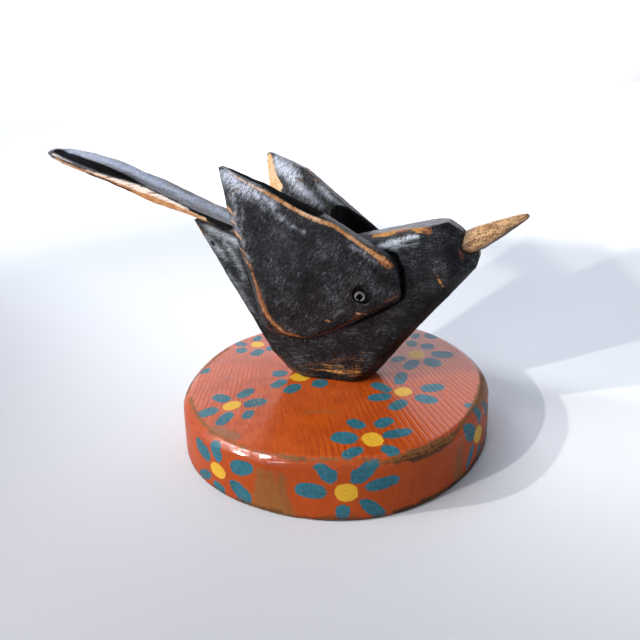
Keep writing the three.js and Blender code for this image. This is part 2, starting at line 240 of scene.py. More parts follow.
class Bench:
    """A material, a world or a lamp in the making."""

    index: float = 1.5
    coat_index: float = 2.3
    coat_rough: float = 0.11
    chalk_rough: float = 0.7
    chalk_gloss: float = 0.08
    # Near-black without gloss: painted shadow and painted shade, also matte strips and a knot hole.
    near_black: tuple[float, ...] = (0.004, 0.004, 0.005, 1.0)

    def __init__(self, owner: "bpy.types.Material | bpy.types.World | bpy.types.Light") -> None:
        """Clears the owner's node tree.

        Args:
            owner: the material, the world or the lamp that is made.
        """
        self.owner = owner
        owner.use_nodes = True
        self.tree = owner.node_tree
        self.tree.nodes.clear()
        place = self.node("ShaderNodeTexCoord", {}, {}, "Object")
        self.mm = self.vector("MULTIPLY", 0, place, (1.0 / MM, 1.0 / MM, 1.0 / MM))

    def node(self, kind: str, settings: dict, sockets: dict,
             output: "int | str | None" = 0) -> "Wire | None":
        """Adds a node.

        Args:
            kind: the node's type.
            settings: its settings, set before its sockets.
            sockets: a value or a Wire for each socket, by name or number.
            output: the output to hand back, None for a node without one.

        Returns:
            The chosen output.
        """
        made = self.tree.nodes.new(kind)
        for key, value in settings.items():
            setattr(made, key, value)
        for key, value in sockets.items():
            if isinstance(value, Wire):
                self.tree.links.new(value.socket, made.inputs[key])
            else:
                made.inputs[key].default_value = value
        return None if output is None else Wire(self, made.outputs[output])

    def vector(self, operation: str, output: "int | str", *inputs: "Wire | Point") -> Wire:
        """Adds one Vector Math node.

        Args:
            operation: the node's operation.
            output: 0 for a vector, "Value" for a number.
            inputs: the node's inputs.

        Returns:
            The node's result.
        """
        settings = {"operation": operation}
        return self.node("ShaderNodeVectorMath", settings, dict(enumerate(inputs)), output)

    def along(self, direction: Point) -> Wire:
        """How far a point lies along a direction, in millimetres."""
        return self.vector("DOT_PRODUCT", "Value", self.mm, direction)

    def run(self, direction: Point, draw: float) -> Wire:
        """The place on the piece, drawn out along one direction.

        Args:
            direction: the direction, as a vector of length 1.
            draw: a number below 1; the smaller it is, the longer a pattern is drawn out.

        Returns:
            The drawn-out place.
        """
        first = Vector(direction).normalized()
        second = first.orthogonal().normalized()
        third = first.cross(second)
        sockets = {"X": self.along(tuple(first)) * draw, "Y": self.along(tuple(second)),
                   "Z": self.along(tuple(third))}
        return self.node("ShaderNodeCombineXYZ", {}, sockets)

    def noise(self, scale: float, detail: float = 2.0, rough: float = 0.5,
              place: "Wire | None" = None) -> Wire:
        """Cloudy noise on the piece, with its middle at 0.

        Args:
            scale: swells per millimetre.
            detail: how many finer layers it has.
            rough: how strong the finer layers are.
            place: where it is read, the piece's own millimetres if left out.

        Returns:
            The noise, mostly from -0.25 to 0.25.
        """
        sockets = {"Vector": place or self.mm, "Scale": scale, "Detail": detail,
                   "Roughness": rough}
        return self.node("ShaderNodeTexNoise", {}, sockets, 0) - 0.5

    def mark(self, mark: Mark) -> Wire:
        """A distance kept on the points of the skin."""
        return self.node("ShaderNodeAttribute", {"attribute_name": mark.value}, {}, "Fac")

    def mix(self, part: Wire, under: "Wire | Colour", over: "Wire | Colour") -> Wire:
        """One colour laid over another.

        Args:
            part: how much of the upper colour shows, from 0 to 1.
            under: the lower colour.
            over: the upper colour.

        Returns:
            The mixed colour.
        """
        sockets = {0: part}
        for number, colour in ((6, under), (7, over)):
            sockets[number] = colour if isinstance(colour, Wire) else (*colour, 1.0)
        settings = {"data_type": "RGBA", "clamp_factor": True}
        return self.node("ShaderNodeMix", settings, sockets, 2)

    def finish(self, colour: "Wire | Colour", rough: "Wire | float", height: Wire, depth: float,
               gloss: float = 0.5, metal: float = 0.0, dull: "Wire | None" = None,
               matte: "Wire | None" = None, coat: "Wire | None" = None,
               tint: Colour = (1.0, 1.0, 1.0)) -> None:
        """Closes the material with one shader.

        Args:
            colour: the base colour.
            rough: the roughness.
            height: the height of the fine relief, about -0.5 to 0.5.
            depth: how deep a height of 1 is, in millimetres.
            gloss: the shader's specular level.
            metal: 1 for metal.
            dull: how much of the place is near-black without any gloss, from 0 to 1; it carries
            painted shadow and painted shade, matte strips and a knot hole.
            matte: how much of the place has its colour without the gloss, from 0 to 1.
            coat: how much of the place has a thick clear coat, from 0 to 1.
            tint: the colour of the gloss.
        """
        sockets = {"Strength": 1.0, "Distance": depth * MM, "Height": height}
        normal = self.node("ShaderNodeBump", {}, sockets, "Normal")
        base = colour if isinstance(colour, Wire) else (*colour, 1.0)
        sockets = {"Base Color": base, "Roughness": rough, "Metallic": metal, "Normal": normal,
                   "Specular IOR Level": gloss, "IOR": self.index, "Specular Tint": (*tint, 1.0)}
        if coat is not None:
            sockets.update({"Coat Weight": coat, "Coat Roughness": self.coat_rough,
                            "Coat IOR": self.coat_index})
        shader = self.node("ShaderNodeBsdfPrincipled", {}, sockets, 0)
        if matte is not None:
            sockets = {"Base Color": base, "Roughness": self.chalk_rough, "Normal": normal,
                       "Specular IOR Level": self.chalk_gloss, "IOR": self.index}
            chalk = self.node("ShaderNodeBsdfPrincipled", {}, sockets, 0)
            shader = self.node("ShaderNodeMixShader", {}, {0: matte, 1: shader, 2: chalk})
        # Painted shadow and painted shade: a near-black shader without gloss is mixed in.
        if dull is not None:
            near_black = self.node("ShaderNodeBsdfDiffuse", {}, {"Color": self.near_black})
            shader = self.node("ShaderNodeMixShader", {}, {0: dull, 1: shader, 2: near_black})
        self.close("ShaderNodeOutputMaterial", shader)

    def close(self, kind: str, shader: Wire) -> None:
        """Joins a shader to the output.

        Args:
            kind: the output node's type.
            shader: the shader.
        """
        self.node(kind, {}, {"Surface": shader}, None)


@dataclass(frozen=True)
class BlackStain:
    """Black stain on carved wood, rubbed through on the arrises and at marked places.

    Painted sheen, glints and glare lighten it, and painted shadow and painted shade darken it.
    """

    grain: Point = (1.0, 0.0, 0.0)
    draw: float = 0.12
    edge_wear: float = 0.0
    gloss: float = 0.32
    black: Colour = (0.003, 0.003, 0.004)
    grey: Colour = (0.031, 0.033, 0.036)
    # Colour of the painted sheen and the painted glints.
    painted_sheen_colour: Colour = (0.57, 0.63, 0.72)
    ochre: Colour = (0.40, 0.165, 0.045)
    tan: Colour = (0.56, 0.32, 0.165)
    pale: Colour = (0.80, 0.68, 0.62)
    rust: Colour = (0.105, 0.040, 0.019)
    russet: Colour = (0.30, 0.105, 0.036)
    shine_tint: Colour = (0.86, 0.94, 1.0)
    relief: float = 0.42
    scratch: float = 1.0

    def dress(self, piece: bpy.types.Object) -> None:
        """Gives the stain to a piece.

        Args:
            piece: the piece, with its marks on its points.
        """
        b = Bench(bpy.data.materials.new(piece.name + "_stain"))
        fine = b.noise(3.0, 2.0, 0.6)
        speck = b.noise(1.1, 2.0, 0.6)
        streak = b.noise(1.1, 3.0, 0.6, b.run(self.grain, self.draw))
        thread = b.noise(1.3, 3.0, 0.6, b.run(self.grain, 0.09))
        cloud = b.noise(0.10, 3.0, 0.6)
        broad = b.noise(0.035, 1.0)
        chew = b.noise(0.42, 4.0, 0.65)
        film = (cloud * 3.4 + broad * 1.5 + speck * 3.8 + fine * 3.0 + streak * 3.4 + 0.14)
        colour = b.mix(film.rise(0.0, 1.0), self.black, self.grey)
        worn = chew * 2.2 + streak * 1.8 + fine * 0.8
        crease = (speck * 3.6 + fine * 3.0 + chew * 2.0 + 0.74).rise(0.0, 1.0)
        # Painted sheen, painted glare and painted glints: silvery reflections of the room, painted
        # into the colour.
        painted_sheen = b.mark(Mark.PAINTED_SHEEN) * 0.16 + cloud + chew * 0.4
        painted_sheen = painted_sheen + b.mark(Mark.GLARE).most(0.0) * 0.55 * crease
        painted_sheen = painted_sheen + streak * (0.6 * self.scratch)
        body = speck * 1.1 + fine * 2.4 + chew * 0.4 + streak * (1.6 * self.scratch)
        body = (body + 0.70).rise(0.0, 1.0)
        painted_glint = fine * 3.4 + speck * 1.2 + streak * 3.0 + cloud * 2.2
        painted_glint = (painted_glint - 0.42).rise(0.0, 0.9) * 0.22
        painted_shine = (painted_sheen.rise(0.0, 1.15) * body).most(painted_glint)
        colour = b.mix(painted_shine, colour, self.painted_sheen_colour)
        # Painted shadow by the wings, a real knot hole and matte strips: nearly black and without
        # gloss.
        dark = (b.mark(Mark.DARK) + worn * 0.35).rise(-0.4, 0.6)
        rim = b.mark(Mark.EDGE)
        edge = (broad * 5.0 + chew * 3.4 + self.edge_wear - rim).rise(0.0, 0.6)
        colour = b.mix(edge * 0.3, colour, self.rust)
        brown = (b.mark(Mark.BROWN) + worn * 0.9).rise(-0.3, 0.8)
        colour = b.mix(brown * (speck * 2.0 + streak * 2.0 + 0.75).rise(0.0, 1.0), colour,
                       self.rust)
        red = (b.mark(Mark.RED) + worn * 0.8).rise(-0.5, 0.7)
        colour = b.mix(red * (thread * 2.0 + speck * 1.6 + 0.72).rise(0.0, 0.9), colour,
                       self.russet)
        wood = b.mix((streak * 2.4 + chew * 2.6 + cloud * 3.0 + speck + 0.42).rise(0.0, 1.0),
                     self.ochre, self.tan)
        through = broad * 5.0 + chew * 4.0 + self.edge_wear - 0.95 - rim * 1.5
        bare = (b.mark(Mark.BARE) + worn * 0.5).rise(-0.35, 0.5)
        bare = bare.most(through.rise(0.0, 0.4) * 0.8)
        bare = bare * (speck * 1.2 + streak * 2.4 + 1.0).rise(0.1, 0.85)
        drawn = b.mark(Mark.STREAKED) * 0.37 + thread * 3.4 + speck * 1.0 + chew * 1.2
        bare = bare.most((drawn - 0.30).rise(0.0, 0.95))
        # Pale band: painted glare on the tail's side, whitish worn wood on the right wing.
        pale = (b.mark(Mark.PALE) + worn * 0.35).rise(-0.4, 0.6)
        dark = dark * (1.0 - bare.most(pale))
        colour = b.mix(bare, colour, wood)
        colour = b.mix(pale * (streak * 3.0 + speck * 1.2 + 0.75).rise(0.0, 0.9), colour, self.pale)
        rough = 0.30 + cloud * 0.25 + speck * 0.20 + bare * 0.20 - painted_shine * 0.04
        height = (speck * 0.55 + fine * 0.6 + streak * 0.6) * (1.0 - bare * 0.7) + chew * 0.25
        # Painted shade at the marked places, joined with the painted shadow above.
        painted_shade = b.mark(Mark.PAINTED_SHADE).rise(0.0, 9.0) * (1.0 - bare)
        dull = (dark * 0.95).most(painted_shade * 0.62)
        b.finish(colour, rough, height, self.relief, gloss=self.gloss, dull=dull,
                 tint=self.shine_tint)
        piece.data.materials.append(b.owner)


@dataclass(frozen=True)
class BareWood:
    """Golden whittled wood with dark flecks, some black near its root and a duller tip."""

    root: Point
    grain: Point = (0.85, 0.0, 0.5)
    gloss: float = 0.36
    relief: float = 0.34
    light: Colour = (0.70, 0.44, 0.22)
    deep: Colour = (0.24, 0.115, 0.045)
    stain: Colour = (0.07, 0.045, 0.03)
    near_black: Colour = (0.030, 0.018, 0.013)
    tip: Colour = (0.20, 0.13, 0.09)

    def dress(self, piece: bpy.types.Object) -> None:
        """Gives the wood to a piece.

        Args:
            piece: the piece.
        """
        b = Bench(bpy.data.materials.new(piece.name + "_wood"))
        fleck = b.noise(0.9, 4.0, 0.75, b.run(self.grain, 0.6))
        streak = b.noise(0.9, 3.0, 0.6, b.run(self.grain, 0.1))
        cloud = b.noise(0.16, 2.0)
        grit = b.noise(2.4, 2.0, 0.6, b.run(self.grain, 0.7))
        far = b.along((1.0, 0.0, 0.0)) - self.root[0]
        colour = b.mix((fleck * 5.0 + grit * 5.6 + streak * 3.0 + cloud * 1.6 + 0.44
                        - far.rise(8.0, 20.0) * 0.22).rise(0.0, 1.0), self.deep, self.light)
        colour = b.mix((fleck * -3.4 - grit * 2.6 - streak * 1.4 - 0.26).rise(0.0, 0.5) * 0.75,
                       colour, self.stain)
        near = cloud * 6.0 + fleck * 5.0 + 2.2 - far
        colour = b.mix(near.rise(0.0, 5.0) * 0.75, colour, self.stain)
        colour = b.mix(far.rise(9.0, 20.0) * 0.25, colour, self.tip)
        under = (b.mark(Mark.BROWN) + fleck * 1.6).rise(-0.3, 0.4)
        colour = b.mix(under * 0.85, colour, self.near_black)
        rough = 0.33 + fleck * 0.4
        height = fleck * 0.8 + grit * 0.5 + streak * 0.6
        b.finish(colour, rough, height, self.relief, gloss=self.gloss)
        piece.data.materials.append(b.owner)


@dataclass(frozen=True)
class DiscPaint:
    """Glossy orange paint over saw marks, with painted flowers, worn at the arris."""

    saw_turn: float = -60.0
    saw_pitch: float = 2.4
    saw_far: float = 337.0
    row_pitch: float = 0.9
    gloss: float = 0.42
    relief: float = 0.075
    top_rim: tuple[float, float] = (25.3, 26.0)
    scratch: Colour = (0.62, 0.26, 0.15)
    orange: Colour = (0.50, 0.084, 0.009)
    deep: Colour = (0.35, 0.050, 0.007)
    teal: Colour = (0.030, 0.155, 0.215)
    green: Colour = (0.018, 0.085, 0.110)
    yellow: Colour = (0.66, 0.38, 0.030)
    umber: Colour = (0.040, 0.018, 0.007)
    oak: Colour = (0.200, 0.088, 0.026)
    gold: Colour = (0.300, 0.135, 0.035)

    def dress(self, piece: bpy.types.Object) -> None:
        """Gives the paint to the disc.

        Args:
            piece: the disc, with its marks on its points.
        """
        b = Bench(bpy.data.materials.new(piece.name + "_paint"))
        turn = math.radians(self.saw_turn)
        lengthwise = (math.cos(turn), math.sin(turn), 0.0)
        across = b.along((-math.sin(turn), math.cos(turn), 0.0))
        across = across / (b.along(lengthwise) * (1.0 / self.saw_far) + 1.0)
        height = b.along((0.0, 0.0, 1.0))
        top = height.rise(*self.top_rim)
        speck = b.noise(1.3, 3.0, 0.65)
        cloud = b.noise(0.07, 3.0, 0.6)
        chew = b.noise(0.42, 4.0, 0.65)
        wander = b.noise(0.03, 2.0)
        deep_kerf = b.along((0.94, -0.10, 0.0)).rise(6.0, 34.0) * 0.85 + 0.15
        deep_kerf = deep_kerf + b.along((-0.94, 0.10, 0.0)).rise(14.0, 44.0) * 0.35
        lines = ((across + wander * 3.0) * (2.0 * math.pi / self.saw_pitch)).wave().rise(0.1, 1.0)
        rows = ((height + wander * 1.5) * (2.0 * math.pi / self.row_pitch)).wave().rise(-0.4, 1.0)
        saw = lines * top * deep_kerf * (cloud * 2.5 + 0.8).rise(0.0, 1.0)
        fibre = b.noise(1.3, 3.0, 0.6, b.run(lengthwise, 0.10))
        thread = b.noise(2.6, 2.0, 0.6, b.run(lengthwise, 0.08))
        tone = cloud * 1.8 + fibre * 1.8 + thread * 1.0 + speck * 1.2 - saw * 0.75 + 0.58
        colour = b.mix(tone.rise(0.0, 1.0), self.deep, self.orange)
        colour = b.mix((1.0 - top) * 0.50, colour, self.deep)
        dab = chew * 1.6 + speck * 0.5
        petal = (b.mark(Mark.PETAL) + dab + 0.1).rise(-0.18, 0.18)
        brush = speck * 1.8 + fibre * 1.6 + chew * 1.6 + cloud * 1.5 + 0.62
        teal = b.mix(brush.rise(0.0, 1.0), self.green, self.teal)
        thin = (fibre * 2.6 + speck * 2.2 - 0.42).rise(0.0, 0.4) * 0.5
        colour = b.mix(petal * (1.0 - thin), colour, teal)
        heart = (b.mark(Mark.HEART) + dab * 0.8).rise(-0.12, 0.12)
        crack = (fibre * 3.0 + speck * 3.0 + chew - 0.52).rise(0.0, 0.5) * 0.7
        colour = b.mix(heart, colour, b.mix(crack, self.yellow, self.umber))
        scrape = (b.mark(Mark.SCRAPE) + chew * 0.6 + speck * 0.8).rise(-0.15, 0.3)
        colour = b.mix(scrape * 0.4, colour, self.scratch)
        smudge = (b.mark(Mark.SMUDGE) + chew * 5.0 + fibre * 3.5).rise(-0.6, 1.8)
        colour = b.mix(smudge * 0.75, colour, self.oak)
        red = (b.mark(Mark.RED) + chew * 3.0).rise(0.0, 0.8)
        grain = speck * 1.7 + chew * 1.3 + cloud * 2.0
        lift = height.rise(22.5, 26.2) * 0.7 - 0.35
        wood = b.mix((rows * 0.3 + fibre * 2.4 + grain + lift + 0.36).rise(0.0, 1.0), self.umber,
                     self.oak)
        sawn = (b.mark(Mark.SAWN) + chew * 4.0 + cloud * 4.0 + rows * 0.8).rise(-1.2, 1.2)
        gold = b.mix((rows * 0.9 + grain * 1.3).rise(0.0, 1.0), self.oak, self.gold)
        colour = b.mix(sawn * 0.8, colour, gold)
        rim = (chew * 4.5 + cloud * 5.0 + speck * 1.5 - 0.15 - b.mark(Mark.EDGE)).rise(0.0, 0.6)
        scuff = chew * 4.0 + speck * 2.0 + fibre * 2.0
        worn = (b.mark(Mark.BROWN) + scuff).rise(-0.45, 0.55)
        worn = worn.most(rim * 0.75)
        foot = (3.2 + chew * 7.0 + cloud * 10.0 - height).rise(0.0, 2.8) * 0.8
        worn = worn.most(foot) * (1.0 - red)
        colour = b.mix(worn * 0.95, colour, wood)
        rough = 0.15 + worn * 0.32 + sawn * 0.25 + speck * 0.10 + smudge * 0.15
        matte = ((1.0 - height.rise(22.0, 23.4)) * 0.75).most(sawn * 0.85).most(worn * 0.6)
        matte = matte.most(petal.most(heart) * 0.40)
        matte = matte.most(height.rise(23.0, 24.0) * (1.0 - height.rise(25.5, 25.9)) * 0.35)
        relief = speck * 0.35 + fibre * 0.60 + thread * 0.30 - saw * 0.85
        relief = relief + petal * 0.20 + heart * 0.20 - worn * (0.5 + rows * 0.4)
        relief = relief - sawn * rows * 0.5
        slope = height.rise(22.0, 23.2) * (1.0 - height.rise(25.7, 26.1)) * (1.0 - worn)
        relief = relief + slope * (chew * 3.0 + speck * 2.8)
        rough = rough - slope * 0.11
        # On the disc this mark only thickens the clear coat; no glare is painted into the colour
        # here.
        wet = (b.mark(Mark.GLARE) + chew * 3.0).rise(-0.4, 1.2)
        wet = wet * (speck * 4.4 + fibre * 2.0 + chew * 3.0 + 0.56).rise(0.0, 0.9)
        b.finish(colour, rough, relief, self.relief, gloss=self.gloss, matte=matte, coat=wet)
        piece.data.materials.append(b.owner)


@dataclass(frozen=True)
class ScrewSteel:
    """Plain steel, painted shade in the square drive, and a darker ring round the head."""

    face: Point
    axis: Point = (0.0, 1.0, 0.0)
    socket: float = 1.95
    head: float = 2.2
    grime: Colour = (0.30, 0.27, 0.23)
    relief: float = 0.03
    steel: Colour = (0.40, 0.385, 0.36)
    shaded_drive_and_dark_rim: Colour = (0.012, 0.011, 0.010)

    def dress(self, piece: bpy.types.Object) -> None:
        """Gives the steel to a screw.

        Args:
            piece: the screw's own node.
        """
        b = Bench(bpy.data.materials.new(piece.name + "_steel"))
        speck = b.noise(3.0, 3.0, 0.6)
        offset = b.vector("SUBTRACT", 0, b.mm, self.face)
        away = b.vector("LENGTH", "Value", b.vector("CROSS_PRODUCT", 0, offset, self.axis))
        wide = self._size(b.along((1.0, 0.0, 0.0)) - self.face[0])
        tall = self._size(b.along((0.0, 0.0, 1.0)) - self.face[2])
        # Painted shade in the square drive, and a darker ring round the head's edge.
        inside = (self.socket - wide - tall + speck * 0.3).rise(0.0, 0.25)
        rim = (away - self.head + speck * 0.4).rise(0.0, 0.3)
        colour = b.mix((speck * 2.0 + 0.2).rise(0.0, 1.0) * 0.5, self.steel, self.grime)
        colour = b.mix(inside.most(rim * 0.6), colour, self.shaded_drive_and_dark_rim)
        rough = 0.26 + speck * 0.3 + inside * 0.4
        b.finish(colour, rough, speck, self.relief, metal=1.0)
        for number in range(len(piece.material_slots)):
            piece.material_slots[number].material = b.owner
        if not piece.material_slots:
            piece.data.materials.append(b.owner)

    @staticmethod
    def _size(number: Wire) -> Wire:
        """The number without its sign."""
        return number.most(number * -1.0)


@dataclass(frozen=True)
class PaleFloor:
    """Smooth pale table top, with painted shade towards the camera and a painted glow far behind.
    """

    lit: Colour = (0.88, 0.93, 0.98)
    dim: Colour = (0.43, 0.44, 0.49)
    glow: Colour = (0.45, 0.43, 0.40)
    toward: Point = (0.28, 0.96, 0.0)
    near: float = 420.0
    far: float = 900.0

    def dress(self, piece: bpy.types.Object) -> None:
        """Gives the colour to the floor.

        Args:
            piece: the floor.
        """
        b = Bench(bpy.data.materials.new("pale_floor"))
        behind = b.along(self.toward)
        # Painted shade: the floor's colour darkens towards the camera.
        base = b.mix(behind.rise(-160.0, 120.0), self.dim, self.lit)
        away = b.vector("LENGTH", "Value", b.mm)
        # Painted glow: the far floor shines though no lamp lights it there.
        part = away.rise(self.near, self.far).most(behind.rise(self.near - 70.0, self.near + 40.0))
        glow = b.mix(part, (0.0, 0.0, 0.0), self.glow)
        sockets = {"Base Color": base, "Roughness": 0.6, "Emission Color": glow,
                   "Emission Strength": 1.0, "Specular IOR Level": 0.2}
        shader = b.node("ShaderNodeBsdfPrincipled", {}, sockets, 0)
        b.close("ShaderNodeOutputMaterial", shader)
        piece.data.materials.append(b.owner)


def only(piece: bpy.types.Object) -> None:
    """Selects one object and nothing else.

    Args:
        piece: the object.
    """
    bpy.ops.object.select_all(action="DESELECT")
    piece.select_set(True)
    bpy.context.view_layer.objects.active = piece


@dataclass
class CarvedPiece:
    """A wooden piece made again from its solid as one worn, hand-cut skin."""

    join_gap: ClassVar[float] = 1e-5  # metres
    flat_turn: ClassVar[float] = math.radians(0.4)
    arris_turn: ClassVar[float] = math.radians(14.0)
    arris_step: ClassVar[float] = 0.4

    node: str
    name: str
    rubs: tuple[Rub, ...]
    slot: str = "black_stain"
    grid: float = 0.5
    passes: int = 4
    knife_depth: float = 0.55
    knife_span: float = 13.0
    marks: tuple[Mark, ...] = (Mark.BARE, Mark.PALE, Mark.BROWN, Mark.DARK, Mark.PAINTED_SHEEN, Mark.RED,
                               Mark.STREAKED, Mark.PAINTED_SHADE, Mark.GLARE)

    def build(self) -> bpy.types.Object:
        """Makes the piece.

        Returns:
            The piece, riding on the bird, with its marks on its points.
        """
        piece = self._copy()
        arrises = self._arrises(piece)
        self._skin(piece)
        self._carve(piece)
        self._keep_marks(piece, arrises)
        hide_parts(self.node)
        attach(piece, "root")
        return piece

    def _copy(self) -> bpy.types.Object:
        """Copies the solid and joins its loose triangles.

        Returns:
            The copy.
        """
        only(frame["nodes"][self.node])
        bpy.ops.object.duplicate()
        piece = bpy.context.view_layer.objects.active
        piece.name = self.name
        piece.data.name = self.name
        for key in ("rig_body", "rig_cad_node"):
            if key in piece:
                del piece[key]
        bpy.ops.object.parent_clear(type="CLEAR_KEEP_TRANSFORM")
        piece.data.materials.clear()
        bpy.ops.object.mode_set(mode="EDIT")
        bpy.ops.mesh.select_all(action="SELECT")
        bpy.ops.mesh.remove_doubles(threshold=self.join_gap)
        bpy.ops.mesh.dissolve_limited(angle_limit=self.flat_turn)
        bpy.ops.object.mode_set(mode="OBJECT")
        return piece

    def _arrises(self, piece: bpy.types.Object) -> np.ndarray:
        """Finds the outward arrises of the solid.

        Args:
            piece: the joined copy.

        Returns:
            Points spaced along the arrises, in millimetres.
        """
        mesh = piece.data
        faces_of: dict[tuple[int, int], list[int]] = {}
        for face in mesh.polygons:
            for key in face.edge_keys:
                faces_of.setdefault(key, []).append(face.index)
        found = []
        for (first, second), pair in faces_of.items():
            if len(pair) != 2:
                continue
            one, two = (mesh.polygons[number] for number in pair)
            if one.normal.angle(two.normal, 0.0) < self.arris_turn:
                continue
            if (two.center - one.center).dot(one.normal) > 0.0:
                continue
            a, b = mesh.vertices[first].co, mesh.vertices[second].co
            steps = max(2, int((b - a).length / (self.arris_step * MM)))
            found.extend((a.lerp(b, step / steps)) / MM for step in range(steps + 1))
        return np.array(found)

    def _skin(self, piece: bpy.types.Object) -> None:
        """Turns the solid into one skin of small even faces with rubbed arrises.

        Args:
            piece: the joined copy.
        """
        only(piece)
        skin = piece.modifiers.new("skin", "REMESH")
        skin.mode = "VOXEL"
        skin.voxel_size = self.grid * MM
        skin.use_smooth_shade = True
        bpy.ops.object.modifier_apply(modifier=skin.name)
        rub = piece.modifiers.new("rub", "SMOOTH")
        rub.factor = 0.5
        rub.iterations = self.passes
        bpy.ops.object.modifier_apply(modifier=rub.name)

    def _carve(self, piece: bpy.types.Object) -> None:
        """Presses shallow knife marks into the skin.

        Args:
            piece: the skin.
        """
        for name, depth, span in (("knife", self.knife_depth, self.knife_span),
                                  ("plane", self.knife_depth * 0.5, self.knife_span * 0.35)):
            clouds = bpy.data.textures.new(f"{self.name}_{name}", "CLOUDS")
            clouds.noise_scale = span * MM
            clouds.noise_depth = 1
            clouds.noise_basis = "VORONOI_F1" if name == "knife" else "BLENDER_ORIGINAL"
            cut = piece.modifiers.new(name, "DISPLACE")
            cut.texture = clouds
            cut.texture_coords = "LOCAL"
            cut.strength = depth * MM
            cut.mid_level = 0.5
            bpy.ops.object.modifier_apply(modifier=cut.name)
        bpy.ops.object.shade_smooth()

    def _keep_marks(self, piece: bpy.types.Object, arrises: np.ndarray) -> None:
        """Keeps the distances that the finish reads on the points of the skin.

        Args:
            piece: the skin.
            arrises: points along the arrises.
        """
        points = self.points(piece)
        tree = KDTree(len(arrises))
        for number, place in enumerate(arrises):
            tree.insert(place, number)
        tree.balance()
        self.keep(piece, Mark.EDGE, np.array([tree.find(place)[2] for place in points]))
        for mark in self.marks:
            depth = np.full(len(points), OUTSIDE)
            for rub in (one for one in self.rubs if one.mark is mark):
                depth = np.maximum(depth, rub.depth(points))
            self.keep(piece, mark, depth)

    @staticmethod
    def points(piece: bpy.types.Object) -> np.ndarray:
        """Reads the points of a piece.

        Args:
            piece: the piece.

        Returns:
            The points in millimetres, one a row.
        """
        flat = np.zeros(len(piece.data.vertices) * 3)
        piece.data.vertices.foreach_get("co", flat)
        return flat.reshape(-1, 3) / MM

    @staticmethod
    def keep(piece: bpy.types.Object, mark: Mark, values: np.ndarray) -> None:
        """Keeps one number for each point.

        Args:
            piece: the piece.
            mark: what the number tells.
            values: the numbers.
        """
        kept = piece.data.attributes.new(mark.value, "FLOAT", "POINT")
        kept.data.foreach_set("value", values.astype(np.float32))


DISC_STROKES = strokes({
    Mark.BROWN: (
        (0.9, 0.9, -62.5, -38.1, 25.9, -55.8, -46.1, 26.4, -49.1, -52.7, 26.4, -42.0, -58.6, 26.3),
        (0.5, 0.5, -41.7, -59.0, 26.1, -34.0, -63.7, 26.1, -26.8, -66.7, 26.2, -20.6, -68.5, 26.4),
        (0.45, 0.45, -20.5, -68.7, 26.3, -11.1, -70.6, 26.2, -3.2, -71.0, 26.1, 2.6, -71.0, 25.9),
        (1.2, 1.2, 2.6, -71.1, 25.8, 6.5, -70.9, 25.6, 10.7, -70.5, 25.5),
        (0.5, 0.5, 10.7, -70.5, 25.5, 19.1, -68.8, 25.6, 26.9, -66.8, 25.8),
        (0.5, 0.5, 26.9, -66.8, 25.8, 34.5, -64.5, 25.8, 41.9, -63.0, 24.6),
        (0.8, 0.8, 42.0, -63.3, 24.4, 46.2, -60.4, 24.7),
        (1.7, 1.7, 46.2, -60.4, 24.7, 50.8, -57.3, 24.7),
        (2.6, 2.6, 51.8, -56.6, 24.7, 55.3, -53.5, 24.6, 60.0, -47.8, 24.8),
        (2.5, 1.2, 60.0, -47.8, 24.8, 64.1, -41.9, 24.7, 67.2, -35.2, 25.0),
        (1.0, 1.0, 67.2, -35.2, 25.2, 69.9, -26.4, 26.0, 71.4, -17.8, 26.2),
        (1.0, 1.6, 71.4, -17.8, 26.2, 73.0, -7.7, 26.2, 73.8, 4.7, 25.8, 72.8, 17.2, 25.2),
        (0.8, 0.8, -70.4, 17.8, 26.4, -72.0, 4.1, 26.4, -71.8, -9.5, 26.4),
        (1.2, 1.2, -71.8, -9.5, 26.4, -72.1, -19.9, 24.5, -68.2, -32.3, 24.1),
        (1.6, 1.6, 46.2, -64.3, 1.0, 50.8, -60.7, 1.1, 55.8, -56.1, 1.0),
        (2.0, 2.0, 55.8, -56.1, 1.5, 61.4, -49.6, 1.0, 66.3, -42.2, 0.9),
        (1.8, 1.8, 66.3, -42.2, 0.9, 69.7, -35.6, 1.3, 72.8, -28.0, 2.2),
        (1.4, 1.4, 72.8, -28.0, 2.2, 75.1, -20.3, 3.5, 77.0, -10.2, 4.7),
    ),
    Mark.SMUDGE: (
        (2.4, 3.0, 74.4, -12.0, 24.8, 75.2, -2.0, 24.8, 75.3, 8.0, 24.6, 74.3, 18.0, 24.0),
        (3.4, 3.4, -36.1, -60.6, 26.4, -30.1, -62.4, 26.4, -23.9, -64.0, 26.4),
        (1.3, 1.3, -2.8, -40.1, 26.4, 4.4, -35.8, 26.4, 12.8, -34.7, 26.4),
        (2.5, 4.0, 1.5, -74.5, 18.0, 1.5, -75.6, 9.0, 4.0, -76.4, 1.5),
        (3.0, 4.0, 68.6, -37.0, 17.0, 68.4, -38.4, 9.0, 69.4, -38.4, 2.0),
    ),
    Mark.SAWN: (
        (1.8, 3.6, -7.2, -74.4, 18.6, -8.6, -75.3, 9.0, -8.2, -76.2, 2.5),
        (2.2, 3.8, -3.6, -74.5, 18.4, -3.6, -75.6, 8.5, -2.0, -76.4, 2.7),
    ),
    Mark.RED: (
        (1.6, 1.6, 70.9, -26.0, 24.6, 72.0, -22.0, 24.4),
    ),
    Mark.GLARE: (
        (1.7, 1.7, -33.9, -65.4, 24.6, -25.4, -69.3, 24.4, -18.2, -71.3, 24.4, -6.1, -73.0, 24.4),
        (2.2, 1.0, -6.1, -73.0, 24.4, -0.7, -73.0, 24.3, 4.5, -72.8, 24.2),
    ),
    Mark.SCRAPE: (
        (0.4, 0.4, -22.2, -59.7, 26.4, -24.3, -45.1, 26.4, -28.4, -26.3, 26.4),
        (0.3, 0.3, -23.4, -63.1, 26.4, -26.2, -46.4, 26.4, -29.3, -31.5, 26.4),
    ),
})


